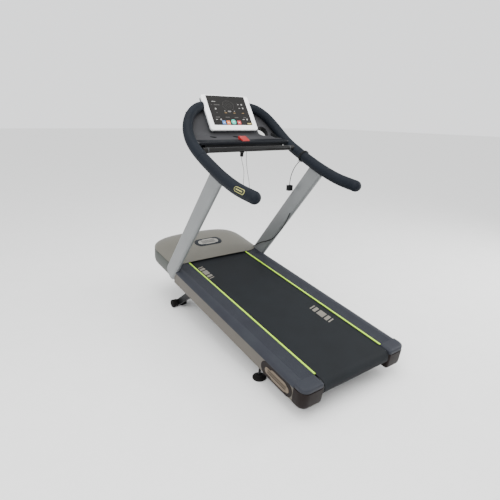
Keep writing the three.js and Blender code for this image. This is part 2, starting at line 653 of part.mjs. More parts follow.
function hoodPlan(rearY) {
  return (inset) => {
    const side = [[hoodHalfWidth(rearY, inset), rearY]];
    const steps = 10;
    for (let i = 0; i <= steps; i += 1) {
      const a = (Math.PI / 2) * (i / steps);
      const y = HOOD_SHOULDER_Y + (HOOD_NOSE_Y - inset - HOOD_SHOULDER_Y) * Math.sin(a);
      side.push([hoodHalfWidth(y, inset), y]);
    }
    return [...side, ...side.slice().reverse().map(([x, y]) => [-x, y])];
  };
}

function makeHoodLower(uprightPocket) {
  const top = HOOD_SEAM_Z - 0.5;
  const w = HOOD_WALL;
  const low = HOOD_BOTTOM;
  const outer = stack(hoodPlan(HOOD_LOWER_REAR_Y), [[low, 22], [low + 10, 7], [low + 28, 0], [top, 0]]);
  const inner = stack(hoodPlan(HOOD_LOWER_REAR_Y - 20),
    [[low - 5, 28], [low + 10, 7 + w], [low + 28, w], [top + 5, w]]);
  const inlet = alongY(inletOutline(52, 31), HOOD_NOSE_Y - 60, HOOD_NOSE_Y + 10);
  return cut(outer, inner, uprightPocket, mirrored(uprightPocket), inlet);
}

function inletOutline(width, height) {
  return roundedRect(width, height, 4, 2).map(([x, z]) => [x - 150, z + 150]);
}

function makePowerInlet() {
  const body = alongY(inletOutline(51, 30), HOOD_NOSE_Y - 42, HOOD_NOSE_Y - 10);
  const socket = alongY(inletOutline(27, 18), HOOD_NOSE_Y - 34, HOOD_NOSE_Y);
  addMesh(deck, 'power_inlet', cut(body, socket), colours.black, 0.5);
}

// ---- Uprights ----
function uprightBody(grow, topZ) {
  const [fy, fz] = UPRIGHT_FOOT;
  const length = (topZ - fz) * Math.hypot(1, UPRIGHT_LEAN);
  const half = UPRIGHT_WIDTH / 2 + grow;
  const radius = 40 + grow;
  const points = [[half, length], [-half, length]];
  for (let i = 0; i <= 3; i += 1) {
    const a = Math.PI + (Math.PI / 6) * i;
    points.push([-half + radius + radius * Math.cos(a), radius - grow + radius * Math.sin(a)]);
  }
  for (let i = 0; i <= 3; i += 1) {
    const a = 1.5 * Math.PI + (Math.PI / 6) * i;
    points.push([half - radius + radius * Math.cos(a), radius - grow + radius * Math.sin(a)]);
  }
  const edge = UPRIGHT_EDGE_R;
  const thick = UPRIGHT_THICK + 2 * grow;
  const slab = new THREE.ExtrudeGeometry(outlineShape(points), {
    depth: thick - 2 * edge, bevelEnabled: true, bevelThickness: edge, bevelSize: edge, bevelOffset: -edge, bevelSegments: 2,
  });
  slab.translate(0, 0, -(thick - 2 * edge) / 2);
  const lean = Math.atan(UPRIGHT_LEAN);
  const up = new THREE.Vector3(0, -Math.sin(lean), Math.cos(lean));
  const across = new THREE.Vector3(0, Math.cos(lean), Math.sin(lean));
  slab.applyMatrix4(new THREE.Matrix4().makeBasis(across, up, new THREE.Vector3(1, 0, 0)));
  return slab.translate(UPRIGHT_X, fy, fz);
}

function makeUprights(gripSpace) {
  const top = 986;
  const shell = cut(uprightBody(0, top), uprightBody(-UPRIGHT_WALL, top + 40), gripSpace);
  addMesh(deck, 'upright_right', shell, colours.upright, 0.45, 0.4);
  addMesh(deck, 'upright_left', mirrored(shell), colours.upright, 0.45, 0.4);
}

// ---- Handles ----
const handle = pathCurve(HANDLE_PATH);
const capShare = CAP_COLLAR / handle.getLength();
const seamShare = shareAtY(handle, GRIP_SEAM_Y);

function makeGripCap() {
  const r = GRIP_RADIUS;
  const profile = [[0, -CAP_COLLAR + GRIP_CLEARANCE], [r, -CAP_COLLAR + GRIP_CLEARANCE]];
  for (let i = 0; i <= 5; i += 1) {
    const a = (Math.PI / 10) * i;
    profile.push([i === 5 ? 0 : r * Math.cos(a), r * Math.sin(a)]);
  }
  const cap = turnedZ(profile, 16);
  const back = handle.getTangentAt(0).negate();
  const turn = new THREE.Quaternion().setFromUnitVectors(new THREE.Vector3(0, 0, 1), back);
  return cap.applyQuaternion(turn).translate(...HANDLE_PATH[0]);
}

function makeHandles() {
  const grip = tube(handle, capShare, seamShare, GRIP_RADIUS, CORE_RADIUS + CORE_FIT, 12, 9);
  const core = tube(handle, capShare + 0.001, seamShare, CORE_RADIUS, 0, 10, 9);
  const cap = makeGripCap();
  for (const [name, geometry, colour] of [['grip', grip, colours.handle], ['handle_core', core, colours.steel],
    ['grip_cap', cap, colours.handle]]) {
    addMesh(deck, `${name}_right`, geometry, colour, 0.7);
    addMesh(deck, `${name}_left`, mirrored(geometry), colour, 0.7);
  }
}

// ---- Console ----
const slope = THREE.MathUtils.degToRad(DISPLAY_SLOPE);
const slopeStart = [DISPLAY_BASE[0] + HOUSING_DEPTH * Math.sin(slope), DISPLAY_BASE[1] - HOUSING_DEPTH * Math.cos(slope)];

function panelZ(y) {
  const ledge = LIP_YZ[1] + (y - LIP_YZ[0]) * LEDGE_RISE;
  const face = slopeStart[1] + (y - slopeStart[0]) * Math.tan(slope);
  const blend = 9;
  const gapHere = (face - ledge) / 2;
  return (face + ledge) / 2 + Math.sqrt(gapHere * gapHere + blend * blend);
}

function panelProfile(topDrop, bottomDrop, y0, y1) {
  const ys = [y0, y0 + 60, LEDGE_REAR_Y - 30, LEDGE_REAR_Y, slopeStart[0] - 8, slopeStart[0] + 8, slopeStart[0] + 36, y1];
  const top = ys.map((y) => [y, panelZ(y) - topDrop]);
  const under = ys.map((y) => [y, panelZ(y) - bottomDrop]).reverse();
  return [...under, ...top].reverse();
}

// The plan outline that follows the handles' middle line, drawn in by an inset.
function consolePlan(inset, frontY) {
  const from = shareAtY(handle, frontY);
  const side = [];
  for (let i = 0; i <= 8; i += 1) {
    const p = handle.getPointAt(from + (0.93 - from) * (i / 8));
    side.push([p.x - inset, p.y - inset * 0.5]);
  }
  return [...side, ...side.slice().reverse().map(([x, y]) => [-x, y])];
}

// A cylinder square to the sloping face, centred on the round opening.
function holderPlug(radius, from, to) {
  const plug = new THREE.CylinderGeometry(radius, radius, to - from, 24).rotateX(Math.PI / 2);
  return plug.translate(0, 0, (from + to) / 2).rotateX(slope).translate(...HOLDER_CENTRE);
}

function displaySpace() {
  const clear = box(-DISPLAY_WIDTH / 2 - 1, DISPLAY_WIDTH / 2 + 1, -2, DISPLAY_HEIGHT + 2, -HOUSING_DEPTH, 90);
  return clear.rotateX(slope).translate(0, ...DISPLAY_BASE);
}

function makeConsolePanel() {
  const sheet = common(
    alongX(panelProfile(0, PANEL_THICK, LIP_YZ[0], PANEL_TOP_Y), -420, 420),
    alongZ(consolePlan(0, LIP_YZ[0]), 900, 1500));
  const rim = taperedTube(handle, seamShare + 0.0015, 1, (t) => GRIP_RADIUS - (GRIP_RADIUS - RIM_END_RADIUS) * t, 14, 15);
  const sleeve = holderPlug(HOLDER_RADIUS + HOLDER_WALL, -HOLDER_DEPTH, -2);
  const bore = holderPlug(HOLDER_RADIUS, -90, 90);
  const [sx, sy] = STOP_CENTRE;
  const stopHole = alongZ(roundedRect(STOP_SIZE[0] + 2 * BUTTON_FIT, STOP_SIZE[1] + 2 * BUTTON_FIT, 8, 3)
    .map(([x, y]) => [x + sx, y + sy]), 1050, 1200);
  return cut(join(sheet, rim, mirrored(rim), sleeve), bore, stopHole, displaySpace());
}

function makeConsoleBack(rimSpace) {
  const w = BACK_WALL;
  const lip = LIP_YZ[0] + 2;
  const outer = [[lip, 1101], [lip, 1066], [lip + 16, 1058], [470, 1072], [552, 1140], [600, 1205], [600, 1258]];
  const inner = [[600 - w, 1252], [600 - w, 1208], [550 - w, 1145], [468, 1072 + w], [lip + 18, 1058 + w], [lip + w, 1068],
    [lip + w, 1101]];
  const shell = common(alongX([...outer, ...inner], -300, 300), alongZ(consolePlan(52, lip - 5), 900, 1500));
  const holder = holderPlug(HOLDER_RADIUS + HOLDER_WALL + 3, -150, 90);
  return cut(shell, holder, rimSpace, mirrored(rimSpace));
}

function makeCrossbar(rimSpace) {
  const [y, z] = CROSSBAR_YZ;
  const reach = 352;
  const bar = alongX(ring(CROSSBAR_RADIUS, 16, [y, z]), -reach, reach);
  const collars = [-318, 306].map((x) => alongX(ring(CROSSBAR_RADIUS + 2, 16, [y, z]), x, x + 12));
  const socket = turnedZ([[0, 0], [8, 0], [11, 4], [11, 24], [14, 27], [14, 31], [0, 31]], 14);
  socket.translate(SOCKET_X, y, z - CROSSBAR_RADIUS - 30);
  return cut(join(bar, ...collars, socket), rimSpace, mirrored(rimSpace));
}

function makeDisplay() {
  const display = new THREE.Group();
  display.position.set(0, ...DISPLAY_BASE);
  display.rotation.x = slope;
  deck.add(display);
  const mid = DISPLAY_HEIGHT / 2;
  const raise = (points, y) => points.map(([a, b]) => [a, b + y]);
  const windowWidth = DISPLAY_WIDTH - 2 * BEZEL_SIDE;
  const windowHeight = DISPLAY_HEIGHT - BEZEL_BOTTOM - BEZEL_TOP;
  const windowMid = BEZEL_BOTTOM + windowHeight / 2;
  const frameOuter = raise(roundedRect(DISPLAY_WIDTH, DISPLAY_HEIGHT, 16), mid);
  const frameInner = raise(roundedRect(windowWidth, windowHeight, 5, 3), windowMid);
  addMesh(display, 'display_frame', alongZ(frameOuter, -BEZEL_DEPTH, 0, [frameInner]), colours.silver, 0.35, 0.3);
  const screenHoles = KEYS.map(([, x, y, w, h]) => keyOutline(x, y, w + 2 * KEY_FIT, h + 2 * KEY_FIT));
  const glass = raise(roundedRect(windowWidth - 2 * GAP, windowHeight - 2 * GAP, 5, 3), windowMid);
  const face = -SCREEN_RECESS;
  addMesh(display, 'display_screen', alongZ(glass, face - SCREEN_THICK, face, screenHoles), colours.screen, 0.25);
  const back = raise(roundedRect(DISPLAY_WIDTH - 2 * HOUSING_INSET, DISPLAY_HEIGHT - 2 * HOUSING_INSET, 14), mid);
  const housing = alongZ(back, -HOUSING_DEPTH + GAP, -BEZEL_DEPTH - GAP);
  addMesh(display, 'display_housing', housing, colours.black, 0.6);
  for (const [name, x, y, w, h, colour] of KEYS) {
    const key = alongZ(keyOutline(0, 0, w, h), 0, KEY_THICK);
    const mesh = addMesh(display, name, key, colour, 0.4);
    mesh.position.set(x, y, face + KEY_PROUD - KEY_THICK);
  }
}

function keyOutline(x, y, w, h) {
  const radius = w > 30 ? w / 2 - 0.01 : 4;
  return roundedRect(w, h, radius, w > 30 ? 6 : 3).map(([a, b]) => [a + x, b + y]);
}

function makeStopButton() {
  const [w, h, tall] = STOP_SIZE;
  const button = alongZ(roundedRect(w, h, 8, 3), 0, tall);
  const mesh = addMesh(deck, 'stop_button', button, colours.red, 0.4);
  mesh.position.set(STOP_CENTRE[0], STOP_CENTRE[1], panelZ(STOP_CENTRE[1]) + STOP_PROUD - tall);
}

// ---- Feet, lift arm and lift screw ----
function makeFeet() {
  const floorTurn = new THREE.Group();
  floorTurn.position.set(0, FOOT_BALL[0], FOOT_BALL[1]);
  floorTurn.rotation.x = -tilt;
  deck.add(floorTurn);
  const h = FOOT_BALL_HEIGHT;
  const cupR = BALL_RADIUS + GAP;
  const profile = [[0, -h], [PAD_RADIUS - 2, -h], [PAD_RADIUS, -h + 3], [PAD_RADIUS, -h + 11], [PAD_RADIUS - 5, -h + 15],
    [20, -4], [17, 0], [cupR, 0]];
  for (let i = 1; i <= 4; i += 1) {
    const a = (Math.PI / 8) * i;
    profile.push([i === 4 ? 0 : cupR * Math.cos(a), -cupR * Math.sin(a)]);
  }
  const ball = [[0, -BALL_RADIUS]];
  for (let i = 1; i <= 5; i += 1) {
    const a = -Math.PI / 2 + 0.42 * i;
    ball.push([BALL_RADIUS * Math.cos(a), BALL_RADIUS * Math.sin(a)]);
  }
  const lugBottom = railBottom - FOOT_BALL[1];
  const nut = 12;
  ball.push([STUD_RADIUS, 12], [STUD_RADIUS, lugBottom - 12], [nut, lugBottom - 12], [nut, lugBottom - GAP],
    [STUD_RADIUS, lugBottom - GAP], [STUD_RADIUS, lugBottom + 38], [0, lugBottom + 38]);
  for (const [side, x] of [['left', -FOOT_X], ['right', FOOT_X]]) {
    const pad = addMesh(floorTurn, `rear_foot_pad_${side}`, turnedZ(profile, 20), colours.black, 0.8);
    pad.position.set(x, 0, 0);
    const stud = addMesh(deck, `rear_foot_stud_${side}`, turnedZ(ball, 12), colours.steel, 0.4, 0.8);
    stud.position.set(x, FOOT_BALL[0], FOOT_BALL[1]);
  }
}

// The arm's slope below the deck, such that its wheels stand on the floor.
function armAngle() {
  const pivotHeight = ARM_PIVOT[0] * Math.sin(tilt) + ARM_PIVOT[1] * Math.cos(tilt) + liftZ;
  return Math.asin((pivotHeight - WHEEL_RADIUS) / ARM_LENGTH) + tilt;
}

function onArm(distance) {
  const a = armAngle();
  return [ARM_PIVOT[0] + distance * Math.cos(a), ARM_PIVOT[1] - distance * Math.sin(a)];
}

function makeLiftArm() {
  const axle = onArm(ARM_LENGTH);
  const crank = onArm(CRANK_SHARE);
  const plate = beltOutline(ARM_PIVOT, axle, 24, 22, 8);
  const bore = alongX(ring(WHEEL_NECK_RADIUS + BEARING_GAP, 18, axle), -400, 400);
  const sides = [-1, 1].map((side) => alongX(plate, side * WHEEL_X - ARM_THICK / 2, side * WHEEL_X + ARM_THICK / 2));
  const reach = railOuterX + 2;
  const pivotTube = alongX(ring(ARM_TUBE_RADIUS, 20, ARM_PIVOT), -reach, reach);
  const crankTube = alongX(ring(CRANK_RADIUS, 20, crank), -WHEEL_X, WHEEL_X);
  addMesh(deck, 'lift_arm', cut(join(...sides, pivotTube, crankTube), bore), colours.steel, 0.5, 0.7);
  const neck = WHEEL_NECK / 2;
  const far = neck + WHEEL_TREAD;
  const r = WHEEL_RADIUS;
  const half = [[r - 3, far], [r, far - 4], [r, neck + 4], [r - 3, neck], [WHEEL_NECK_RADIUS, neck]];
  const profile = [[0, far], ...half, ...half.slice().reverse().map(([a, b]) => [a, -b]), [0, -far]].reverse();
  for (const [name, side] of [['wheel_left', -1], ['wheel_right', 1]]) {
    const wheel = addMesh(deck, name, turnedX(profile, 0, 0, 0, 18), colours.black, 0.8);
    wheel.position.set(side * WHEEL_X, axle[0], axle[1]);
  }
}

function makeLift() {
  const crank = onArm(CRANK_SHARE);
  const dy = crank[0] - LIFT_PIVOT[0];
  const dz = crank[1] - LIFT_PIVOT[1];
  const length = Math.hypot(dy, dz);
  const screw = new THREE.Group();
  screw.position.set(0, ...LIFT_PIVOT);
  screw.rotation.x = Math.atan2(dz, dy);
  deck.add(screw);
  const shaft = alongX(ring(10, 14), -(RAIL_INNER_X - GAP), RAIL_INNER_X - GAP);
  const block = alongY(roundedRect(64, 58, 12, 3), -40, 34);
  const can = alongY(ring(24, 16), -92, -34);
  const rod = alongY(ring(SCREW_RADIUS - 5, 12), 30, ROD_TIP);
  addMesh(screw, 'lift_motor', join(shaft, block, can, rod), colours.motor, 0.5, 0.5);
  const eye = CRANK_RADIUS + EYE_CLEARANCE;
  const start = length - 150;
  const sleeve = alongY(ring(SCREW_RADIUS, 20), start, length - eye - 4);
  const bore = alongY(ring(SCREW_RADIUS - 4, 12), start - 5, length - eye - 14);
  const ears = alongX(ring(eye + 9, 24, [length, 0]), -14, 14);
  const eyeHole = alongX(ring(eye, 24, [length, 0]), -20, 20);
  addMesh(screw, 'lift_tube', cut(join(sleeve, ears), bore, eyeHole), colours.bright, 0.4, 0.8);
}

// ---- Cords and what they hang from ----
function makeCord(name, points, diameter, colour) {
  const route = pathCurve(points);
  const steps = Math.min(80, Math.ceil(route.getLength() / (2.5 * diameter)));
  const section = outlineShape(ring(diameter / 2, 8));
  addMesh(root, name, new THREE.ExtrudeGeometry(section, { steps, extrudePath: route }), colour, 0.7);
}

function makeCords() {
  makeCord('safety_string', SAFETY_STRING, STRING_DIAMETER, colours.cord);
  makeCord('handle_string', HANDLE_STRING, HANDLE_STRING_DIAMETER, colours.cord);
  makeCord('upright_cable', UPRIGHT_CABLE, CABLE_DIAMETER, colours.black);
  const [w, d, h] = CLIP_SIZE;
  const end = HANDLE_STRING[HANDLE_STRING.length - 1];
  const clip = alongZ(roundedRect(w, d, 6, 3), -h, 0);
  addMesh(root, 'string_clip', clip, colours.black).position.set(end[0], end[1], end[2] - GAP);
}

// ---- Assembly ----
const uprightPocket = uprightBody(2, 1012);
const gripSpace = tube(handle, 0, 0.6, GRIP_RADIUS + GRIP_CLEARANCE, 0, 12, 10);
const rimSpace = taperedTube(handle, shareAtY(handle, 60), 1, () => GRIP_RADIUS + GAP, 14, 18);
makeRunningBelt();
makeRollers();
makeDeckBoard();
makeMotor();
makeDriveBelt();
makeMotorPan();
makeInverter();
makeFrame();
makeSides(uprightPocket);
addMesh(deck, 'hood_upper', makeHoodUpper(uprightPocket), colours.hood, 0.55);
addMesh(deck, 'hood_lower', makeHoodLower(uprightPocket), colours.hood, 0.55);
makePowerInlet();
makeUprights(gripSpace);
makeHandles();
addMesh(deck, 'console_panel', makeConsolePanel(), colours.handle, 0.7);
addMesh(deck, 'console_back', makeConsoleBack(rimSpace), colours.black, 0.7);
addMesh(deck, 'crossbar', makeCrossbar(rimSpace), colours.steel, 0.4, 0.7);
makeDisplay();
makeStopButton();
makeFeet();
makeLiftArm();
makeLift();
makeCords();

export default root;
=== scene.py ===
import json
import math
import bmesh
import bpy
from mathutils import Matrix, Vector


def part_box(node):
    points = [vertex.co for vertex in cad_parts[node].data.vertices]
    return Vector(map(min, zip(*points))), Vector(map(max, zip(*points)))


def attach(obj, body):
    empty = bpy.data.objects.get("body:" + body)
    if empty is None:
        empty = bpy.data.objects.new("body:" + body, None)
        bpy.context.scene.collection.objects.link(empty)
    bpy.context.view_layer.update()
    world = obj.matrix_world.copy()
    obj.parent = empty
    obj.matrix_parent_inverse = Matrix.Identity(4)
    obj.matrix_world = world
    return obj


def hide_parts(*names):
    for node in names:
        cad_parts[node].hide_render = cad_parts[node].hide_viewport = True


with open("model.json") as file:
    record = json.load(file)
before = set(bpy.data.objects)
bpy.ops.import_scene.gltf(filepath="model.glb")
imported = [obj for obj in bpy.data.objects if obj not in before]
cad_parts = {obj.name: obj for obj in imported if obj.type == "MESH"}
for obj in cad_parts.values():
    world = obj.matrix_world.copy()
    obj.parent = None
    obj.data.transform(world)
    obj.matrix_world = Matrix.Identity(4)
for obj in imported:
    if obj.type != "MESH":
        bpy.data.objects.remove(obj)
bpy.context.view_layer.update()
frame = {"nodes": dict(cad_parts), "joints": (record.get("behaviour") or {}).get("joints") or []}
JOINTS = {j["name"]: j for j in frame["joints"]}

# The running deck was drawn level and then raised at the front. Pieces are drawn level too,
# in metres, and DECK carries them to the shared frame.
PRESS = JOINTS["stop_press"]["axis"]
TILT = math.atan2(PRESS[1], -PRESS[2])
REAR_Y, FRONT_Y, ROLLER_Z = -0.815, 0.642, 0.1474  # the middles of the two rollers
DECK = Matrix.Rotation(TILT, 4, "X")
ROLLER = Vector((0, FRONT_Y, ROLLER_Z))
DECK.translation = Vector(JOINTS["front_roller_spin"]["pos_m"]) - DECK.to_3x3() @ ROLLER
BASE = Matrix.Identity(4)

# The display leans back by SLOPE from the middle of its lower edge.
SLOPE = math.radians(49.5)
DISPLAY_FOOT = Vector((0, 0.461, 1.161))
DISPLAY_WIDTH, DISPLAY_HEIGHT, DISPLAY_THICK = 0.364, 0.257, 0.036
SCREEN_PLACE = Matrix.Translation(DISPLAY_FOOT) @ Matrix.Rotation(SLOPE, 4, "X")
FACE = DECK @ SCREEN_PLACE

# The uprights' lower ends, and how far they lean for each metre that they rise.
UPRIGHT_LEAN = 0.65
UPRIGHT_FOOT = Vector((0.377, 0.612, 0.105))
UPRIGHT_HALF = 0.0585

HOLDER_CENTRE = (0.241, 0.489, 1.139)
STOP_X, STOP_Y = 0.001, 0.362
CROSSBAR_Y, CROSSBAR_Z, CROSSBAR_RADIUS = 0.272, 1.076, 0.016
STUD_X, STUD_Y, STUD_Z = 0.330, -0.460, -0.020


# ---- Camera ----
def make_camera():
    data = bpy.data.cameras.new("camera")
    data.sensor_width = 36
    data.lens = 29.53
    az, el, roll = (math.radians(a) for a in (-37.21, 24.05, 5.83))
    back = Vector((math.sin(az) * math.cos(el), -math.cos(az) * math.cos(el), math.sin(el)))
    right = Vector((math.cos(az), math.sin(az), 0))
    up = back.cross(right)
    c, s = math.cos(roll), math.sin(roll)
    turned = Matrix((c * right + s * up, c * up - s * right, back)).transposed().to_4x4()
    turned.translation = Vector((-1.532, -1.840, 1.548))
    camera = bpy.data.objects.new("camera", data)
    bpy.context.scene.collection.objects.link(camera)
    camera.matrix_world = DECK @ turned
    bpy.context.scene.camera = camera


make_camera()


# ---- Colour and materials ----
def linear(text):
    parts = [int(text[i:i + 2], 16) / 255 for i in (1, 3, 5)]
    return [p / 12.92 if p <= 0.04045 else ((p + 0.055) / 1.055) ** 2.4 for p in parts] + [1]


def add(tree, kind, settings=None, links=()):
    """One node, with its settings and the sockets that feed it."""
    node = tree.nodes.new(kind)
    for key, value in (settings or {}).items():
        if key in node.inputs:
            node.inputs[key].default_value = value
        else:
            setattr(node, key, value)
    for socket, source in links:
        tree.links.new(source, node.inputs[socket])
    return node


ROUGHNESS_SPREAD = 0.08


def material(name, low, high, grain, roughness, metal=0.0, bump=0.0, stretch=(1, 1, 1), coat=0.0,
             kind="noise", shine=0.5):
    """A surface whose tone wanders between two colours.

    grain is the size of one fleck or thread in metres. Real mould grain is near 0.3 mm and would
    not show, so it is drawn at about 1 mm."""
    made = bpy.data.materials.new(name)
    made.use_nodes = True
    tree = made.node_tree
    shader = tree.nodes["Principled BSDF"]
    shader.inputs["Metallic"].default_value = metal
    shader.inputs["Coat Weight"].default_value = coat
    shader.inputs["Coat Roughness"].default_value = 0.25
    shader.inputs["Specular IOR Level"].default_value = shine
    place = add(tree, "ShaderNodeTexCoord")
    scaled = add(tree, "ShaderNodeMapping", {"Scale": [1 / (grain * s) for s in stretch]},
                 [("Vector", place.outputs["Object"])])
    broad = add(tree, "ShaderNodeTexNoise", {"Scale": 7.0, "Detail": 5.0},
                [("Vector", place.outputs["Object"])])
    if kind == "weave":
        fine = add(tree, "ShaderNodeTexVoronoi", {"Scale": 1.0}, [("Vector", scaled.outputs["Vector"])])
        height = fine.outputs["Distance"]
    else:
        fine = add(tree, "ShaderNodeTexNoise", {"Scale": 1.0, "Detail": 3.0},
                   [("Vector", scaled.outputs["Vector"])])
        height = fine.outputs["Fac"]
    both = add(tree, "ShaderNodeMix", {"Factor": 0.4}, [("A", broad.outputs["Fac"]), ("B", height)])
    tone = add(tree, "ShaderNodeValToRGB", None, [("Fac", both.outputs["Result"])])
    tone.color_ramp.elements[0].position = 0.3
    tone.color_ramp.elements[0].color = linear(low)
    tone.color_ramp.elements[1].position = 0.7
    tone.color_ramp.elements[1].color = linear(high)
    tree.links.new(tone.outputs["Color"], shader.inputs["Base Color"])
    limits = {"To Min": roughness - ROUGHNESS_SPREAD, "To Max": min(1, roughness + ROUGHNESS_SPREAD)}
    wear = add(tree, "ShaderNodeMapRange", limits, [("Value", both.outputs["Result"])])
    tree.links.new(wear.outputs["Result"], shader.inputs["Roughness"])
    if bump:
        dent = add(tree, "ShaderNodeBump", {"Strength": 0.5, "Distance": bump}, [("Height", height)])
        tree.links.new(dent.outputs["Normal"], shader.inputs["Normal"])
    return made


# Rubber pressed between rollers: a matt, fine weave.
BELT = material("calendered_belt_rubber", "#181a1c", "#1d2023", 0.0016, 0.72, bump=0.0004, kind="weave",
                shine=0.12)
# Flat grey ink, slightly uneven.
BELT_PRINT = material("screen_printed_ink", "#66625a", "#736f66", 0.003, 0.6)
# Drawn ABS, dull slate, so the ribs show by their shade alone.
RAIL = material("extruded_slate_abs", "#292a31", "#313439", 0.0012, 0.5, bump=0.0001, shine=0.12)
# Bright plastic run together with the rail.
LIME = material("coextruded_lime_pvc", "#a8d81e", "#b8e634", 0.004, 0.4)
# Moulded ABS, warm grey with a fine grain.
SKIRT = material("moulded_warm_grey_abs", "#423b33", "#484339", 0.0011, 0.48, bump=0.0001)
# Smooth moulded ABS with a soft gloss over the dome.
HOOD = material("moulded_hood_abs", "#55534b", "#5e5c54", 0.0011, 0.45, bump=0.0001, coat=0.1)
# The same moulding in a greener, darker grey.
HOOD_DARK = material("moulded_hood_base_abs", "#2e322d", "#333832", 0.0011, 0.5, bump=0.0001)
# Coarse pebbled ABS, near black with some brown.
CAP = material("pebbled_brown_abs", "#110908", "#150d0c", 0.0014, 0.5, bump=0.0002, shine=0.12)
# Baked powder paint on steel, an even satin grey.
PAINT = material("powder_coated_grey_steel", "#6a6c6d", "#747778", 0.0009, 0.4, metal=0.1, bump=0.00005)
# Skinned foam, soft and dull, with a little blue.
GRIP = material("moulded_grip_foam", "#0f1319", "#151a21", 0.0013, 0.62, bump=0.0003, shine=0.12)
# Grained ABS that takes little light.
PANEL = material("moulded_console_abs", "#353537", "#3e3e40", 0.0012, 0.5, bump=0.00015, shine=0.12)
# Soft rubbery edge, darker than the panel.
LIP = material("moulded_lip_elastomer", "#090c11", "#0d1015", 0.0012, 0.55, bump=0.0001, shine=0.12)
# Pebbled black ABS for the small fittings.
DARK = material("pebbled_black_abs", "#0c0d0e", "#131416", 0.0013, 0.55, bump=0.00015, shine=0.12)
# Black powder paint, a shade shinier than the plastic.
BLACK_STEEL = material("powder_coated_black_steel", "#0f1012", "#16181a", 0.001, 0.42, metal=0.3,
                       bump=0.00005, shine=0.12)
# Satin lacquer on tube, with a long soft highlight.
BAR = material("satin_black_tube", "#202020", "#272727", 0.0012, 0.35, metal=0.4, shine=0.12)
# Zinc plate, streaked along one way.
STEEL = material("zinc_plated_steel", "#5d5f61", "#6d6f71", 0.002, 0.3, metal=0.9, stretch=(8, 1, 1))
# Rough grey casting.
CAST = material("die_cast_aluminium", "#3a3c3e", "#46484a", 0.002, 0.5, metal=0.7, bump=0.0002)
# Brown pressed board with long fibres.
BOARD = material("phenolic_faced_board", "#2a2119", "#352a20", 0.003, 0.5, stretch=(1, 6, 1))
# Pale lacquer on ABS, clean and bright.
SILVER = material("silver_lacquered_abs", "#f7f7f7", "#f9f9f9", 0.0012, 0.32, coat=0.25)
# The same lacquer in grey, on the case behind.
SILVER_SIDE = material("grey_lacquered_abs", "#3c3f42", "#46494c", 0.0012, 0.42)
# Dark film with a thin gloss.
SCREEN = material("printed_screen_film", "#181716", "#1f1e1d", 0.004, 0.33, coat=0.3, shine=0.12)
# Ink printed on the film, in four tones.
SCREEN_INK = material("white_screen_ink", "#8a8986", "#9a9996", 0.003, 0.5)
SCREEN_DIM = material("grey_screen_ink", "#373533", "#413f3c", 0.003, 0.5)
SCREEN_WARM = material("amber_screen_ink", "#6f5630", "#7e643c", 0.003, 0.5)
SCREEN_STRIP = material("yellow_screen_ink", "#a39250", "#b3a260", 0.003, 0.5)
# Switch plastic, moulded in one deep red.
RED = material("red_moulded_switch_abs", "#8e0c0b", "#971414", 0.002, 0.4)
# Silicone caps, one bright tone each.
KEY_TONES = {
    "key_blue": material("blue_key_silicone", "#4472b4", "#5a86c4", 0.002, 0.45),
    "key_orange": material("orange_key_silicone", "#c8662c", "#d67a44", 0.002, 0.45),
    "key_teal": material("teal_key_silicone", "#10a892", "#2cc0aa", 0.002, 0.4),
    "key_red": material("red_key_silicone", "#b23230", "#c04644", 0.002, 0.45),
}
# Stamped foil and its dark lacquered edge.
BADGE = material("stamped_silver_foil", "#8a8882", "#9b9993", 0.002, 0.35, metal=0.5)
BADGE_DARK = material("badge_edge_lacquer", "#1c1f23", "#25282c", 0.002, 0.4, shine=0.12)
# Dull anodised plate and a faded label.
TAN = material("anodised_tan_plate", "#5c5042", "#6b5e4e", 0.002, 0.4, metal=0.5)
TAG = material("faded_lime_label", "#8a8848", "#9b9958", 0.002, 0.5)
# Solid rubber with a matt skin.
RUBBER = material("moulded_wheel_rubber", "#0c0b0b", "#121111", 0.0015, 0.7, bump=0.0002, shine=0.12)
# Braided nylon and drawn PVC sheath.
NYLON = material("braided_nylon_cord", "#4a4946", "#5a5955", 0.0008, 0.7, bump=0.0002)
SHEATH = material("extruded_cable_pvc", "#070809", "#0c0d0e", 0.001, 0.45, shine=0.12)


# ---- Mesh tools ----
def finish_piece(name, bm, paint, body, stands_for=(), place=DECK, sharp=35, bevel=0.0, steps=3, weld=True):
    if weld:
        bmesh.ops.remove_doubles(bm, verts=bm.verts, dist=1e-5)
    bmesh.ops.recalc_face_normals(bm, faces=bm.faces)
    bm.transform(place)
    limit = math.radians(sharp)
    for face in bm.faces:
        face.smooth = True
    for edge in bm.edges:
        edge.smooth = len(edge.link_faces) == 2 and edge.calc_face_angle(0) < limit
    mesh = bpy.data.meshes.new(name)
    bm.to_mesh(mesh)
    bm.free()
    mesh.materials.append(paint)
    piece = bpy.data.objects.new(name, mesh)
    bpy.context.scene.collection.objects.link(piece)
    if bevel:
        rounding = piece.modifiers.new("rounding", "BEVEL")
        rounding.width = bevel
        rounding.segments = steps
        rounding.limit_method = "ANGLE"
        rounding.angle_limit = limit
        rounding.harden_normals = True
    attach(piece, body)
    if stands_for:
        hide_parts(*stands_for)
    return piece


def from_rings(rings, closed=True, caps=True):
    bm = bmesh.new()
    rows = [[bm.verts.new(p) for p in ring] for ring in rings]
    count = len(rows[0])
    for a, b in zip(rows, rows[1:]):
        for i in range(count if closed else count - 1):
            j = (i + 1) % count
            bm.faces.new((a[i], a[j], b[j], b[i]))
    if caps:
        bm.faces.new(rows[0])
        bm.faces.new(rows[-1])
    return bm


def prism(points, axis, low, high):
    """A closed outline carried along X, Y or Z."""
    spread = {
        "X": lambda a, b, t: (t, a, b),
        "Y": lambda a, b, t: (a, t, b),
        "Z": lambda a, b, t: (a, b, t),
    }[axis]
    return from_rings([[spread(a, b, t) for a, b in points] for t in (low, high)])


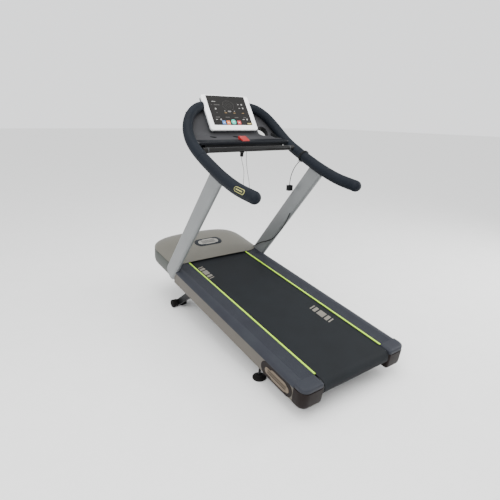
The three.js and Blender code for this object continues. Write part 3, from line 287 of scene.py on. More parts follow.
def merged(*parts):
    whole = bmesh.new()
    for part in parts:
        mesh = bpy.data.meshes.new("part")
        part.to_mesh(mesh)
        part.free()
        whole.from_mesh(mesh)
        bpy.data.meshes.remove(mesh)
    return whole


def box(x0, x1, y0, y1, z0, z1):
    return prism([(x0, y0), (x1, y0), (x1, y1), (x0, y1)], "Z", z0, z1)


def arc(cx, cy, rx, ry, start, end, steps):
    angles = [math.radians(start + (end - start) * i / steps) for i in range(steps + 1)]
    return [(cx + rx * math.cos(a), cy + ry * math.sin(a)) for a in angles]


def rounded(width, height, radius, cx=0.0, cy=0.0, steps=6):
    points = []
    for sx, sy, start in ((1, 1, 0), (-1, 1, 90), (-1, -1, 180), (1, -1, 270)):
        x = cx + sx * (width / 2 - radius)
        y = cy + sy * (height / 2 - radius)
        points += arc(x, y, radius, radius, start, start + 90, steps)
    return points


def turned(profile, sides=48, centre=(0, 0, 0), axis="Z"):
    """Radius and distance pairs turned about an axis."""
    rings = []
    for radius, along in profile:
        ring = []
        for i in range(sides):
            a = 2 * math.pi * i / sides
            u, v = radius * math.cos(a), radius * math.sin(a)
            point = (along, u, v) if axis == "X" else (u, v, along)
            ring.append(Vector(point) + Vector(centre))
        rings.append(ring)
    return from_rings(rings)


def smooth_path(points, per=8):
    """A curve through points, which keeps its shape where their spacing changes."""
    p = [Vector(q) for q in points]
    p = [2 * p[0] - p[1]] + p + [2 * p[-1] - p[-2]]
    out = []
    for a, b, c, d in zip(p, p[1:], p[2:], p[3:]):
        t0 = 0.0
        t1 = t0 + (b - a).length ** 0.5
        t2 = t1 + (c - b).length ** 0.5
        t3 = t2 + (d - c).length ** 0.5
        for i in range(per):
            t = t1 + (t2 - t1) * i / per
            u = a * ((t1 - t) / (t1 - t0)) + b * ((t - t0) / (t1 - t0))
            v = b * ((t2 - t) / (t2 - t1)) + c * ((t - t1) / (t2 - t1))
            w = c * ((t3 - t) / (t3 - t2)) + d * ((t - t2) / (t3 - t2))
            e = u * ((t2 - t) / (t2 - t0)) + v * ((t - t0) / (t2 - t0))
            f = v * ((t3 - t) / (t3 - t1)) + w * ((t - t1) / (t3 - t1))
            out.append(e * ((t2 - t) / (t2 - t1)) + f * ((t - t1) / (t2 - t1)))
    return out + [p[-2]]


def tube_rings(path, radius_at, sides=32):
    rings = []
    up = Vector((0, 0, 1))
    for k, centre in enumerate(path):
        ahead = (path[min(k + 1, len(path) - 1)] - path[max(k - 1, 0)]).normalized()
        side = ahead.cross(up).normalized()
        over = side.cross(ahead)
        r = radius_at(k / (len(path) - 1))
        turns = [2 * math.pi * i / sides for i in range(sides)]
        rings.append([centre + side * r * math.cos(a) + over * r * math.sin(a) for a in turns])
    return rings


def in_metres(points):
    return [[c / 1000 for c in p] for p in points]


def flip(bm):
    bmesh.ops.scale(bm, vec=(-1, 1, 1), verts=bm.verts)
    return bm


def both_sides(name, make, paint, nodes=None, **more):
    """A piece made for the right side, and its mirror image."""
    for side in ("right", "left"):
        bm = make()
        if side == "left":
            flip(bm)
        stands = [f"{n}_{side}" for n in ([name] if nodes is None else nodes)]
        finish_piece(f"{name}_{side}", bm, paint, "frame", stands, **more)


# ---- Cords ----
STRING_THICK, HANDLE_STRING_THICK, CABLE_THICK = 0.003, 0.005, 0.006


def make_cord(name, points, thick, paint):
    data = bpy.data.curves.new(name, "CURVE")
    data.dimensions = "3D"
    data.bevel_depth = thick / 2
    data.bevel_resolution = 4
    data.use_fill_caps = True
    path = smooth_path(in_metres(points), 6)
    spline = data.splines.new("POLY")
    spline.points.add(len(path) - 1)
    for spot, p in zip(spline.points, path):
        spot.co = (*p, 1)
    data.materials.append(paint)
    cord = bpy.data.objects.new(name, data)
    bpy.context.scene.collection.objects.link(cord)
    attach(cord, "frame")
    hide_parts(name)
    return cord, path


# Each route is in millimetres, from where the cord leaves the machine.
SAFETY_STRING = [
    [-68, 63.8, 1159], [-67, 63.8, 1146], [-63, 63.8, 1128], [-56, 63.8, 1104], [-50, 63.7, 1077],
    [-49, 63.4, 1045], [-52, 62.9, 1010], [-53, 62.4, 975], [-50, 61.4, 945], [-42, 60.9, 922],
    [-30, 60.4, 912],
    [-18, 59.9, 922], [-10, 59.4, 945], [-8, 58.9, 975], [-13, 58.4, 1010], [-21, 58, 1045],
    [-28, 57.8, 1080], [-33, 57.7, 1115], [-35, 57.7, 1150], [-35, 57.7, 1190],
]
HANDLE_STRING = [
    [340, -27.6, 1126], [337, -18.1, 1117], [335, -8.6, 1108], [333, -0.1, 1098], [331.5, 7.9, 1087.5],
    [329.5, 14.9, 1076], [327.5, 20.9, 1064.5], [326, 25.9, 1052], [324, 30.4, 1039.5], [322.5, 33.9, 1027],
    [321, 36.9, 1014], [320, 38.9, 1001], [319, 40.4, 987.5], [318.5, 41.4, 974.5], [318, 41.4, 961],
]
UPRIGHT_CABLE = [
    [355.5, 67.4, 752], [353, 79.9, 721], [352.5, 94.9, 691], [352, 112.4, 663], [352, 132.4, 636],
    [352, 153.4, 610], [352, 176.4, 585.5], [352, 199.9, 561.5], [352, 223.9, 538.5], [352, 249.9, 517.5],
    [352, 278.9, 500.5], [352, 308.9, 486], [352, 339.4, 472.5], [352, 370.4, 460.5], [352, 400.9, 446.5],
    [351, 430.4, 431], [349.5, 459.4, 414], [346, 486.4, 395],
]


def make_clip():
    low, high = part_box("string_clip")
    mid = (low + high) / 2
    half = (high - low) / 2
    body = prism(rounded(2 * half.x, 2 * half.y, 0.006, mid.x, mid.y), "Z", low.z, high.z - 0.003)
    neck = turned([(0.004, high.z - 0.008), (0.004, high.z)], 16, (mid.x, mid.y, 0))
    jaw = box(mid.x - half.x * 0.8, mid.x + half.x * 0.8, mid.y - half.y - 0.001, mid.y - half.y + 0.001,
              low.z + 0.010, low.z + 0.013)
    return finish_piece("string_clip_body", merged(body, neck, jaw), DARK, "frame", ["string_clip"],
                        place=BASE, bevel=0.0015, sharp=50, weld=False)


def make_cords():
    cord, path = make_cord("safety_string", SAFETY_STRING, STRING_THICK, NYLON)
    clip = make_clip()
    cord, path = make_cord("handle_string", HANDLE_STRING, HANDLE_STRING_THICK, SHEATH)
    cord, path = make_cord("upright_cable", UPRIGHT_CABLE, CABLE_THICK, SHEATH)


make_cords()


# ---- Belt and rollers ----
BELT_TOP = 0.190


def belt_outline(radius):
    rear = arc(REAR_Y, ROLLER_Z, radius, radius, 90, 270, 24)
    front = arc(FRONT_Y, ROLLER_Z, radius, radius, -90, 90, 24)
    return front + rear


def make_belt():
    half = 0.244
    outer, inner = belt_outline(0.0426), belt_outline(0.0402)
    rings = [[(x, a, b) for a, b in outline] for x, outline in
             ((-half, inner), (-half, outer), (half, outer), (half, inner), (-half, inner))]
    bm = from_rings(rings, caps=False)
    finish_piece("running_belt_sheet", bm, BELT, "frame", ["running_belt"], sharp=40)
    marks = []
    top = BELT_TOP + 0.0003
    for middle, across, half in ((-0.389, 0.175, 0.026), (0.389, -0.2085, 0.022)):
        for along, length in ((-0.083, 0.010), (-0.053, 0.026), (0, 0.056), (0.053, 0.026), (0.083, 0.010)):
            y0, y1 = middle + along - length / 2, middle + along + length / 2
            x0, x1 = across - half, across + half
            slanted = [(x0, y0 - 0.006), (x1, y0 + 0.006), (x1, y1 + 0.006), (x0, y1 - 0.006)]
            marks.append(prism(slanted, "Z", top - 0.0002, top))
    finish_piece("belt_marks", merged(*marks), BELT_PRINT, "frame")


make_belt()


# ---- Side rails ----
RAIL_IN, RAIL_OUT, RAIL_FLAT = 0.246, 0.389, 0.350
RAIL_TOP, RAIL_EDGE = 0.1965, 0.168
RAIL_REAR, RAIL_FRONT = -0.784, 0.608
GROOVE_SPACING, GROOVE_DEPTH = 0.008, 0.0012


def rail_outline():
    points = [(RAIL_IN, 0.1875), (RAIL_IN, 0.193), (0.2563, 0.193), (0.2563, RAIL_TOP - 0.001),
              (0.2573, RAIL_TOP)]
    x = 0.264
    while x < RAIL_FLAT - 0.006:
        points += [(x - 0.0016, RAIL_TOP), (x - 0.0009, RAIL_TOP - GROOVE_DEPTH),
                   (x + 0.0009, RAIL_TOP - GROOVE_DEPTH), (x + 0.0016, RAIL_TOP)]
        x += GROOVE_SPACING
    wide, deep = RAIL_OUT - RAIL_FLAT, RAIL_TOP - RAIL_EDGE
    points += [(RAIL_FLAT + wide * math.sin(a), RAIL_EDGE + deep * math.cos(a))
               for a in (math.pi / 24 * i for i in range(13))]
    wall = 0.006
    points += [(RAIL_FLAT + (wide - wall) * math.cos(a), RAIL_EDGE + (deep - wall) * math.sin(a))
               for a in (math.pi / 16 * i for i in range(9))]
    return points + [(0.274, RAIL_TOP - wall), (0.274, 0.1875)]


def cut_upright(bm):
    """Takes away what lies in the upright's socket, by a flat cut along its lean."""
    lean = Vector((0, math.cos(math.atan(UPRIGHT_LEAN)), math.sin(math.atan(UPRIGHT_LEAN))))
    middle = Vector((0, UPRIGHT_FOOT.y, UPRIGHT_FOOT.z))
    geometry = bm.verts[:] + bm.edges[:] + bm.faces[:]
    bmesh.ops.bisect_plane(bm, geom=geometry, plane_co=middle - lean * (UPRIGHT_HALF - 0.004),
                           plane_no=lean, clear_outer=True)
    return bm


def make_rail():
    return prism(rail_outline(), "Y", RAIL_REAR, RAIL_FRONT - 0.003)


def make_stripe():
    return box(RAIL_IN, RAIL_IN + 0.010, RAIL_REAR, 0.566, 0.1933, 0.1975)


def make_skirt():
    x1, z0, w = 0.383, 0.075, 0.004
    outer = [(x1, RAIL_EDGE - 0.0004)] + arc(x1 - 0.011, z0 + 0.011, 0.011, 0.011, 0, -90, 8)
    outer += [(x1 - 0.02, z0)]
    inner = [(x1 - 0.02, z0 + w)] + arc(x1 - 0.011, z0 + 0.011, 0.007, 0.007, -90, 0, 8)
    inner += [(x1 - w, RAIL_EDGE - 0.0004)]
    return cut_upright(prism(outer + inner, "Y", RAIL_REAR, 0.532))


both_sides("footrail", make_rail, RAIL, sharp=30)
both_sides("stripe", make_stripe, LIME, bevel=0.0012)
both_sides("side_skirt", make_skirt, SKIRT, sharp=30)


# ---- Rear caps ----
CAP_IN, CAP_OUT, CAP_REAR, CAP_CORNER = 0.250, 0.386, -0.860, 0.046


def cap_ring(inset, z):
    x0, x1, y0 = CAP_IN + inset, CAP_OUT - inset, CAP_REAR + inset
    big = CAP_CORNER - inset
    points = [(x1, RAIL_REAR - 0.0003), (x0, RAIL_REAR - 0.0003)]
    points += arc(x0 + 0.012, y0 + 0.012, 0.012, 0.012, 180, 270, 6)
    points += arc(x1 - big, y0 + big, big, big, 270, 360, 14)
    return [(x, y, z) for x, y in points]


def make_cap():
    levels = [(0.069, 0.019), (0.070, 0.014), (0.073, 0.009), (0.078, 0.005), (0.086, 0.002),
              (0.098, 0.0005), (0.155, 0.0), (0.1655, 0.0005), (0.168, 0.003)]
    return from_rings([cap_ring(inset, z) for z, inset in levels])


def make_cap_pad():
    levels = [(0.1683, 0.005), (0.1690, 0.0035), (0.172, 0.0025), (0.184, 0.0022), (0.1890, 0.003),
              (0.1925, 0.006), (0.1950, 0.0105), (0.1962, 0.016), (0.1965, 0.022)]
    return from_rings([cap_ring(inset, z) for z, inset in levels])


both_sides("end_cap", make_cap, CAP)
both_sides("end_cap_pad", make_cap_pad, RAIL)


# ---- Motor hood ----
HOOD_SEAM = 0.200
HOOD_PROFILE = [
    (0.560, 0.006), (0.568, 0.009), (0.590, 0.017), (0.620, 0.026), (0.650, 0.034), (0.720, 0.048),
    (0.790, 0.060), (0.850, 0.066), (0.905, 0.064), (0.955, 0.054), (1.005, 0.034), (1.036, 0.014),
    (1.045, 0.003),
]


def hood_half(y, inset=0.0, lid=True):
    half = 0.384 - inset
    if y > 0.800:
        share = min(1.0, (y - 0.800) / (0.245 - inset))
        half = max(0.010, half * (1 - share ** 3) ** (1 / 3))
    if lid and y < 0.650:
        back = min(1.0, (0.650 - y) / 0.090)
        half -= 0.114 * (1 - math.sqrt(1 - back * back))
    return half


HOOD_LINE = smooth_path([(0, y, h) for y, h in HOOD_PROFILE], 6)


def hood_height(y):
    for a, b in zip(HOOD_LINE, HOOD_LINE[1:]):
        if a.y <= y <= b.y:
            return a.z + (b.z - a.z) * (y - a.y) / max(1e-9, b.y - a.y)
    return 0.0


def hood_z(x, y):
    s = min(1.0, abs(x) / hood_half(y))
    return HOOD_SEAM + hood_height(y) * (1 - s ** 3.4) ** 0.65


def make_hood_lid():
    across = 72
    rings = []
    for point in HOOD_LINE:
        half = hood_half(point.y)
        row = [math.sin(math.pi / 2 * (2 * i / across - 1)) for i in range(across + 1)]
        rings.append([(half * s, point.y, hood_z(half * s * 0.99999, point.y)) for s in row])
    bm = from_rings(rings, closed=False, caps=False)
    piece = finish_piece("hood_lid", bm, HOOD, "frame", ["hood_upper"], sharp=50)
    wall = piece.modifiers.new("wall", "SOLIDIFY")
    wall.thickness = 0.004
    wall.offset = -1
    return piece


def hood_ring(inset, z):
    side = [(hood_half(0.616, inset, False), 0.616)]
    for i in range(25):
        y = 0.800 + (0.245 - inset) * math.sin(math.pi / 2 * i / 24)
        side.append((hood_half(y, inset, False), y))
    return [(x, y, z) for x, y in side] + [(-x, y, z) for x, y in reversed(side)]


def make_hood_base():
    levels = [(0.0845, 0.024), (0.087, 0.015), (0.092, 0.009), (0.100, 0.004), (0.112, 0.001), (0.130, 0.0),
              (0.1935, 0.0), (0.1960, 0.0015)]
    bm = from_rings([hood_ring(inset, z) for z, inset in levels], caps=False)
    bmesh.ops.delete(bm, geom=[f for f in bm.faces if all(abs(v.co.y - 0.616) < 1e-6 for v in f.verts)],
                     context="FACES")
    piece = finish_piece("hood_base", bm, HOOD_DARK, "frame", ["hood_lower"], sharp=50)
    wall = piece.modifiers.new("wall", "SOLIDIFY")
    wall.thickness = 0.004
    wall.offset = -1


def stadium(width, height, cx, cy, steps=14):
    r = height / 2
    far, near = cx + width / 2 - r, cx - width / 2 + r
    return arc(far, cy, r, r, -90, 90, steps) + arc(near, cy, r, r, 90, 270, steps)


def plate_on_hood(name, width, height, cx, cy, low, high, paint):
    levels = []
    for scale, rise in ((1.0, low), (0.985, high), (0.8, high), (0.5, high), (0.2, high), (0.02, high)):
        outline = stadium(width * scale, height * scale, cx, cy)
        levels.append([(x, y, hood_z(x, y) + rise) for x, y in outline])
    return finish_piece(name, from_rings(levels, caps=True), paint, "frame", sharp=60)


make_hood_lid()
make_hood_base()
plate_on_hood("hood_badge_rim", 0.236, 0.094, 0.006, 0.742, -0.001, 0.0016, BADGE_DARK)
plate_on_hood("hood_badge_plate", 0.176, 0.050, 0.006, 0.742, 0.001, 0.0030, BADGE)
plate_on_hood("hood_badge_upper", 0.126, 0.064, 0.012, 0.744, 0.001, 0.0028, BADGE)
for step in (-1, 0, 1):
    plate_on_hood(f"hood_badge_bar_{step + 1}", 0.118, 0.0042, 0.006, 0.742 + 0.013 * step, 0.003, 0.0038,
                  BADGE_DARK)


# ---- Uprights ----
def make_upright():
    length = (0.986 - UPRIGHT_FOOT.z) * math.hypot(1, UPRIGHT_LEAN)
    half, r = UPRIGHT_HALF, 0.040
    points = [(half, length), (-half, length)]
    points += arc(-half + r, r, r, r, 180, 270, 12) + arc(half - r, r, r, r, 270, 360, 12)
    lean = math.atan(UPRIGHT_LEAN)
    up = Vector((0, -math.sin(lean), math.cos(lean)))
    across = Vector((0, math.cos(lean), math.sin(lean)))
    rings = []
    for t in range(25):
        a = math.pi * t / 24
        inset = 0.0168 * (1 - math.sin(a))
        x = -0.017 * math.cos(a)
        ring = []
        for u, v in points:
            scale = (half - inset) / half
            height = v if v > r else r - (r - v) * (r - inset) / r
            ring.append(UPRIGHT_FOOT + Vector((x, 0, 0)) + across * u * scale + up * height)
        rings.append(ring)
    return from_rings(rings)


both_sides("upright", make_upright, PAINT, sharp=50)


# ---- Handles ----
# The middle of the right handle in millimetres, from its tip round to the console.
HANDLE_POINTS = [
    [366, -296, 965], [370, -150, 968], [372, 0, 990], [371, 120, 1018], [370, 230, 1048], [366, 340, 1085],
    [358, 420, 1128], [335, 490, 1183], [290, 545, 1238], [220, 585, 1278], [120, 615, 1288], [0, 625, 1285],
    [-12, 625, 1285],
]
HANDLE = smooth_path(in_metres(HANDLE_POINTS), 10)
SEAM = next(i for i, p in enumerate(HANDLE) if p.y > 0.225)
TIP = next(i for i, p in enumerate(HANDLE) if (p - HANDLE[0]).length > 0.014)


def make_grip():
    path = HANDLE[TIP:SEAM]
    last = len(path) - 1
    ends = {0: 0.0325, last: 0.0325}
    rings = tube_rings(path, lambda t: ends.get(round(t * last), 0.034), 40)
    return from_rings(rings)


def make_grip_cap():
    path = [HANDLE[0] + (HANDLE[0] - HANDLE[2]).normalized() * 0.0335 * math.sin(math.pi / 2 * i / 10)
            for i in range(10, 0, -1)]
    radii = [max(0.002, 0.034 * math.cos(math.pi / 2 * i / 10)) for i in range(10, 0, -1)]
    path += HANDLE[0:TIP] + [HANDLE[TIP] - (HANDLE[TIP] - HANDLE[0]).normalized() * 0.0012]
    radii += [0.034] * (len(path) - len(radii))
    last = len(path) - 1
    return from_rings(tube_rings(path, lambda t: radii[round(t * last)], 40))


def make_rim():
    path = [HANDLE[SEAM - 1] + (HANDLE[SEAM] - HANDLE[SEAM - 1]).normalized() * 0.0012] + HANDLE[SEAM:-9]
    return from_rings(tube_rings(path, lambda t: 0.0328 if t == 0 else 0.034 - 0.005 * t, 40))


both_sides("grip", make_grip, GRIP, nodes=["grip", "handle_core"])
both_sides("grip_cap", make_grip_cap, GRIP)


# ---- Console panel ----
SLOPE_Y = DISPLAY_FOOT.y + DISPLAY_THICK * math.sin(SLOPE)
SLOPE_Z = DISPLAY_FOOT.z - DISPLAY_THICK * math.cos(SLOPE)


def panel_z(y):
    """The panel's height: a ledge that bends up into the slope behind the display."""
    ledge = 1.110 + (y - 0.325) * 0.095
    face = SLOPE_Z + (y - SLOPE_Y) * math.tan(SLOPE)
    gap = (face - ledge) / 2
    return (face + ledge) / 2 + math.sqrt(gap * gap + 0.009 ** 2)


def rim_x(y):
    """How far out the handle's middle is, at a place along the machine."""
    for a, b in zip(HANDLE[SEAM - 4:], HANDLE[SEAM - 3:]):
        if a.y <= y <= b.y:
            return a.x + (b.x - a.x) * (y - a.y) / max(1e-9, b.y - a.y)
    return 0.2


def carved(bm, cutter):
    """What is left of a mesh when cutter is taken from it."""
    made = []
    for name, part in (("body", bm), ("cutter", cutter)):
        bmesh.ops.recalc_face_normals(part, faces=part.faces)
        mesh = bpy.data.meshes.new(name)
        part.to_mesh(mesh)
        part.free()
        thing = bpy.data.objects.new(name, mesh)
        bpy.context.scene.collection.objects.link(thing)
        made.append(thing)
    body, tool = made
    step = body.modifiers.new("cut", "BOOLEAN")
    step.operation = "DIFFERENCE"
    step.object = tool
    step.solver = "EXACT"
    bpy.context.view_layer.update()
    result = bmesh.new()
    result.from_object(body, bpy.context.evaluated_depsgraph_get())
    for thing in made:
        bpy.data.objects.remove(thing)
    return result


def holder_plug(radius, low, high, sides=48):
    bm = turned([(radius, low), (radius, high)], sides)
    bmesh.ops.transform(bm, matrix=Matrix.Translation(HOLDER_CENTRE) @ Matrix.Rotation(SLOPE, 4, "X"),
                        verts=bm.verts)
    return bm


def stop_well():
    return prism(rounded(0.0556, 0.0616, 0.008, STOP_X, STOP_Y), "Z", 1.08, 1.15)


def make_rims():
    for word in ("right", "left"):
        bm = make_rim()
        if word == "left":
            flip(bm)
        behind = box(-0.1828, 0.1828, -0.0008, DISPLAY_HEIGHT + 0.0008, -0.0365, 0.09)
        bmesh.ops.transform(behind, matrix=SCREEN_PLACE, verts=behind.verts)
        finish_piece(f"console_rim_{word}", carved(bm, behind), GRIP, "frame", sharp=40)


def make_panel():
    ys = [0.325 + (0.600 - 0.325) * i / 40 for i in range(41)]
    columns = 40
    top, under = [], []
    for y in ys:
        half = rim_x(max(y, HANDLE[SEAM].y)) - 0.004
        xs = [half * (2 * i / columns - 1) for i in range(columns + 1)]
        top.append([(x, y, panel_z(y)) for x in xs])
        under.append([(x, y, panel_z(y) - 0.006) for x in xs])
    rings = [a + list(reversed(b)) for a, b in zip(top, under)]
    bm = from_rings(rings)
    bm = carved(bm, holder_plug(0.040, -0.09, 0.09))
    screen_space = box(-0.183, 0.183, -0.002, 0.26, -0.036, 0.09)
    bmesh.ops.transform(screen_space, matrix=SCREEN_PLACE, verts=screen_space.verts)
    bm = carved(bm, screen_space)
    bm = carved(bm, stop_well())
    finish_piece("console_panel_sheet", bm, PANEL, "frame", ["console_panel"], sharp=30)
    sleeve = holder_plug(0.043, -0.024, 0.0015)
    hole = holder_plug(0.040, -0.03, 0.01)
    finish_piece("holder_sleeve", carved(sleeve, hole), DARK, "frame", sharp=40)
    top = [(y, panel_z(y) + 0.0016) for y in (0.372, 0.360, 0.345, 0.333)]
    lip = top + [(0.326, 1.1112), (0.3225, 1.108), (0.3215, 1.103), (0.3225, 1.096), (0.3265, 1.094),
                 (0.3275, 1.101)]
    lip += [(y, panel_z(y) + 0.0001) for y in (0.333, 0.345, 0.360, 0.372)]
    strip = carved(prism(lip, "X", -0.334, 0.334), stop_well())
    finish_piece("console_lip", strip, LIP, "frame", bevel=0.0006)


def make_console_back():
    outer = [(0.327, 1.101), (0.327, 1.066), (0.343, 1.058), (0.470, 1.072), (0.552, 1.140),
             (0.598, 1.205), (0.598, 1.250)]
    inner = [(0.594, 1.248), (0.594, 1.208), (0.549, 1.145), (0.468, 1.076), (0.345, 1.062),
             (0.331, 1.068), (0.331, 1.101)]
    bm = prism(outer + inner, "X", -0.298, 0.298)
    bm = carved(bm, holder_plug(0.047, -0.15, 0.09))
    finish_piece("console_underside", bm, DARK, "frame", ["console_back"], bevel=0.002, steps=2)


# Painted shade: the notches are not cut into the panel. Two dark triangles stand just above it, in place of
# the shadow inside them.
def make_notch_painted_shade():
    parts = []
    for x in (-0.184, -0.015):
        z = panel_z(0.437) + 0.0004
        outline = [(x - 0.016, 0.452), (x - 0.015, 0.428), (x + 0.004, 0.416), (x + 0.017, 0.420),
                   (x + 0.008, 0.440)]
        parts.append(prism(outline, "Z", z - 0.006, z + 0.0016))
    finish_piece("panel_notch_painted_shade", merged(*parts), DARK, "frame", bevel=0.0004)


def make_tray():
    outline = [(0.285, 0.402), (0.331, 0.394), (0.326, 0.440), (0.306, 0.480), (0.286, 0.452)]
    mid = [sum(c) / len(outline) for c in zip(*outline)]
    rings = []
    for scale, rise in ((1.0, -0.002), (1.0, 0.0022), (0.95, 0.0030), (0.9, 0.0022), (0.87, 0.0006)):
        ring = [(mid[0] + (x - mid[0]) * scale, mid[1] + (y - mid[1]) * scale) for x, y in outline]
        rings.append([(x, y, panel_z(y) + rise) for x, y in ring])
    finish_piece("tray_recess", from_rings(rings), DARK, "frame", sharp=60)


def make_crossbar():
    centre = (0, CROSSBAR_Y, CROSSBAR_Z)
    bar = turned([(CROSSBAR_RADIUS, -0.345), (CROSSBAR_RADIUS, 0.345)], 40, centre, "X")
    finish_piece("crossbar_tube", bar, BAR, "frame", ["crossbar"])
    collars = []
    for x in (-0.318, 0.306):
        collar = [(0.0158, x), (0.0175, x + 0.001), (0.0175, x + 0.007), (0.0158, x + 0.008)]
        collars.append(turned(collar, 40, centre, "X"))
    finish_piece("crossbar_collars", merged(*collars), CAST, "frame", weld=False)
    profile = [(0.003, -0.030), (0.0075, -0.030), (0.0105, -0.0265), (0.011, -0.006), (0.0138, -0.003),
               (0.014, 0.001), (0.003, 0.001)]
    socket = turned(profile, 32, (-0.068, CROSSBAR_Y, CROSSBAR_Z - CROSSBAR_RADIUS))
    finish_piece("key_socket", socket, DARK, "frame", sharp=50)


make_rims()
make_panel()
make_console_back()
make_notch_painted_shade()
make_tray()
make_crossbar()


# ---- Display ----
# The bezel's breadth beside, below and above the screen.
SIDE, BOTTOM, TOP = 0.033, 0.035, 0.006


def make_display():
    mid = DISPLAY_HEIGHT / 2
    window_h = DISPLAY_HEIGHT - BOTTOM - TOP
    window_y = BOTTOM + window_h / 2
    outer = [(0.0175, -0.016, 0.0015), (0.0175, -0.0145, 0.0), (0.0175, -0.004, 0.0),
             (0.0165, -0.0014, 0.0008), (0.015, -0.0003, 0.0022), (0.014, 0.0, 0.004)]
    rings = []
    for radius, z, inset in outer:
        outline = rounded(DISPLAY_WIDTH - 2 * inset, DISPLAY_HEIGHT - 2 * inset, radius, 0, mid, 10)
        rings.append([(x, y, z) for x, y in outline])
    for inset, z in ((-0.0008, 0.0), (0.0, -0.0006), (0.0, -0.010)):
        outline = rounded(DISPLAY_WIDTH - 2 * SIDE - 2 * inset, window_h - 2 * inset, 0.005, 0, window_y, 10)
        rings.append([(x, y, z) for x, y in outline])
    bm = from_rings(rings, caps=False)
    finish_piece("display_bezel", bm, SILVER, "frame", ["display_frame"], place=FACE, sharp=50)
    case = rounded(DISPLAY_WIDTH - 0.006, DISPLAY_HEIGHT - 0.006, 0.015, 0, mid, 8)
    finish_piece("display_case", prism(case, "Z", -0.0357, -0.0163), SILVER_SIDE, "frame",
                 ["display_housing"], place=FACE, bevel=0.002)
    pane = rounded(DISPLAY_WIDTH - 2 * SIDE - 0.0006, window_h - 0.0006, 0.005, 0, window_y, 8)
    glass = prism(pane, "Z", -0.005, -0.0015)
    finish_piece("screen_film", glass, SCREEN, "frame", ["display_screen"], place=FACE)


def flat_box(x, y, w, h, low=-0.0016, high=-0.0012, radius=0.0008):
    return prism(rounded(w, h, radius, x, y, 2), "Z", low, high)


def make_screen_print():
    """A dial of ticks and plain bars, whose places and widths are in millimetres."""
    bright, dim, warm = [], [], []
    for i in range(44):
        a = math.radians(-55 + 290 * i / 43)
        if i % 9 != 8:
            dim.append(flat_box(0.0025 + 0.042 * math.cos(a), 0.180 + 0.036 * math.sin(a), 0.0026, 0.0022))
    for radius in (0.014, 0.026):
        for i in range(14):
            a = 2 * math.pi * i / 14
            x, y = 0.004 + radius * math.cos(a), 0.180 + 0.8 * radius * math.sin(a)
            dim.append(flat_box(x, y, 0.0022, 0.0016))
    for x, y in ((111, 190), (112, 162), (118, 78), (-86, 76), (-101, 154)):
        bright.append(flat_box(x / 1000, y / 1000, 0.010, 0.010))
    for x, y, w in ((-101, 208, 28), (83, 190, 12), (85, 162, 12), (-117, 76, 15), (90, 78, 15),
                    (-1, 138, 26), (-36, 139, 8), (38, 139, 8)):
        bright.append(flat_box(x / 1000, y / 1000, w / 1000, 0.0038))
    for x, y, w in ((-84, 184, 42), (-123, 184, 5), (-104, 93, 32), (-30, 93, 32), (37, 92, 30),
                    (104, 92, 20), (-1, 131, 18), (-100, 126, 8)):
        dim.append(flat_box(x / 1000, y / 1000, w / 1000, 0.0055))
    for x, y, w in ((-33, 126, 18), (34, 125, 18), (101, 125, 18)):
        warm.append(flat_box(x / 1000, y / 1000, w / 1000, 0.0045))
    finish_piece("screen_marks_bright", merged(*bright), SCREEN_INK, "frame", place=FACE)
    finish_piece("screen_marks_dim", merged(*dim), SCREEN_DIM, "frame", place=FACE)
    finish_piece("screen_marks_warm", merged(*warm), SCREEN_WARM, "frame", place=FACE)
    strip = flat_box(0.127, 0.047, 0.032, 0.008)
    finish_piece("screen_strip", strip, SCREEN_STRIP, "frame", place=FACE)


# Each key's name, middle, width and height on the display.
KEYS = (("key_blue", -0.070, 0.054, 0.024, 0.028), ("key_orange", -0.036, 0.054, 0.027, 0.028),
        ("key_teal", 0.005, 0.059, 0.037, 0.037), ("key_red", 0.047, 0.054, 0.027, 0.028))


def make_keys():
    for name, x, y, w, h in KEYS:
        radius = w / 2 - 0.0001 if name == "key_teal" else 0.004
        levels = ((0.0, -0.0078), (0.0, -0.0008), (0.0004, -0.0003), (0.0014, 0.0001), (0.004, 0.0002))
        rings = []
        for inset, z in levels:
            outline = rounded(w - 2 * inset, h - 2 * inset, max(0.001, radius - inset), x, y, 8)
            rings.append([(a, b, z) for a, b in outline])
        finish_piece(name + "_cap", from_rings(rings), KEY_TONES[name], name, [name], place=FACE, sharp=50)
        mark = flat_box(x, y, w * 0.34, h * 0.12, 0.00015, 0.0004)
        finish_piece(name + "_mark", mark, SILVER, name, place=FACE)


def make_stop():
    y, z = STOP_Y, panel_z(STOP_Y)
    side = [(y - 0.0298, z - 0.006), (y + 0.0298, z - 0.004), (y + 0.0298, z + 0.0195),
            (y + 0.024, z + 0.0215), (y - 0.024, z + 0.006), (y - 0.0298, z + 0.002)]
    cap = prism(side, "X", STOP_X - 0.0268, STOP_X + 0.0268)
    finish_piece("stop_button_cap", cap, RED, "stop_button", ["stop_button"], bevel=0.003, steps=4)


make_display()
make_screen_print()
make_keys()
make_stop()


# ---- Badges on the skirts and on the left grip ----
def side_plate(name, x, y0, y1, z0, z1, thick, paint, side):
    middle_y, middle_z = (y0 + y1) / 2, (z0 + z1) / 2
    outline = stadium(y1 - y0, z1 - z0, middle_y, middle_z)
    bm = prism(outline, "X", x - 0.001, x + thick)
    if side < 0:
        flip(bm)
    finish_piece(name, bm, paint, "frame", bevel=0.0008, steps=2)


def make_badges():
    for word, side in (("left", -1), ("right", 1)):
        # Dark base, tan plate with a stepped edge, and three bars.
        side_plate(f"skirt_badge_base_{word}", 0.383, -0.778, -0.526, 0.079, 0.163, 0.0018, CAP, side)
        side_plate(f"skirt_badge_plate_{word}", 0.384, -0.756, -0.562, 0.099, 0.137, 0.0022, TAN, side)
        side_plate(f"skirt_badge_step_{word}", 0.384, -0.742, -0.600, 0.092, 0.148, 0.0020, TAN, side)
        for i, z in enumerate((0.109, 0.118, 0.127)):
            side_plate(f"skirt_badge_bar_{word}_{i}", 0.3855, -0.735, -0.585, z, z + 0.0035, 0.0016, CAP,
                       side)


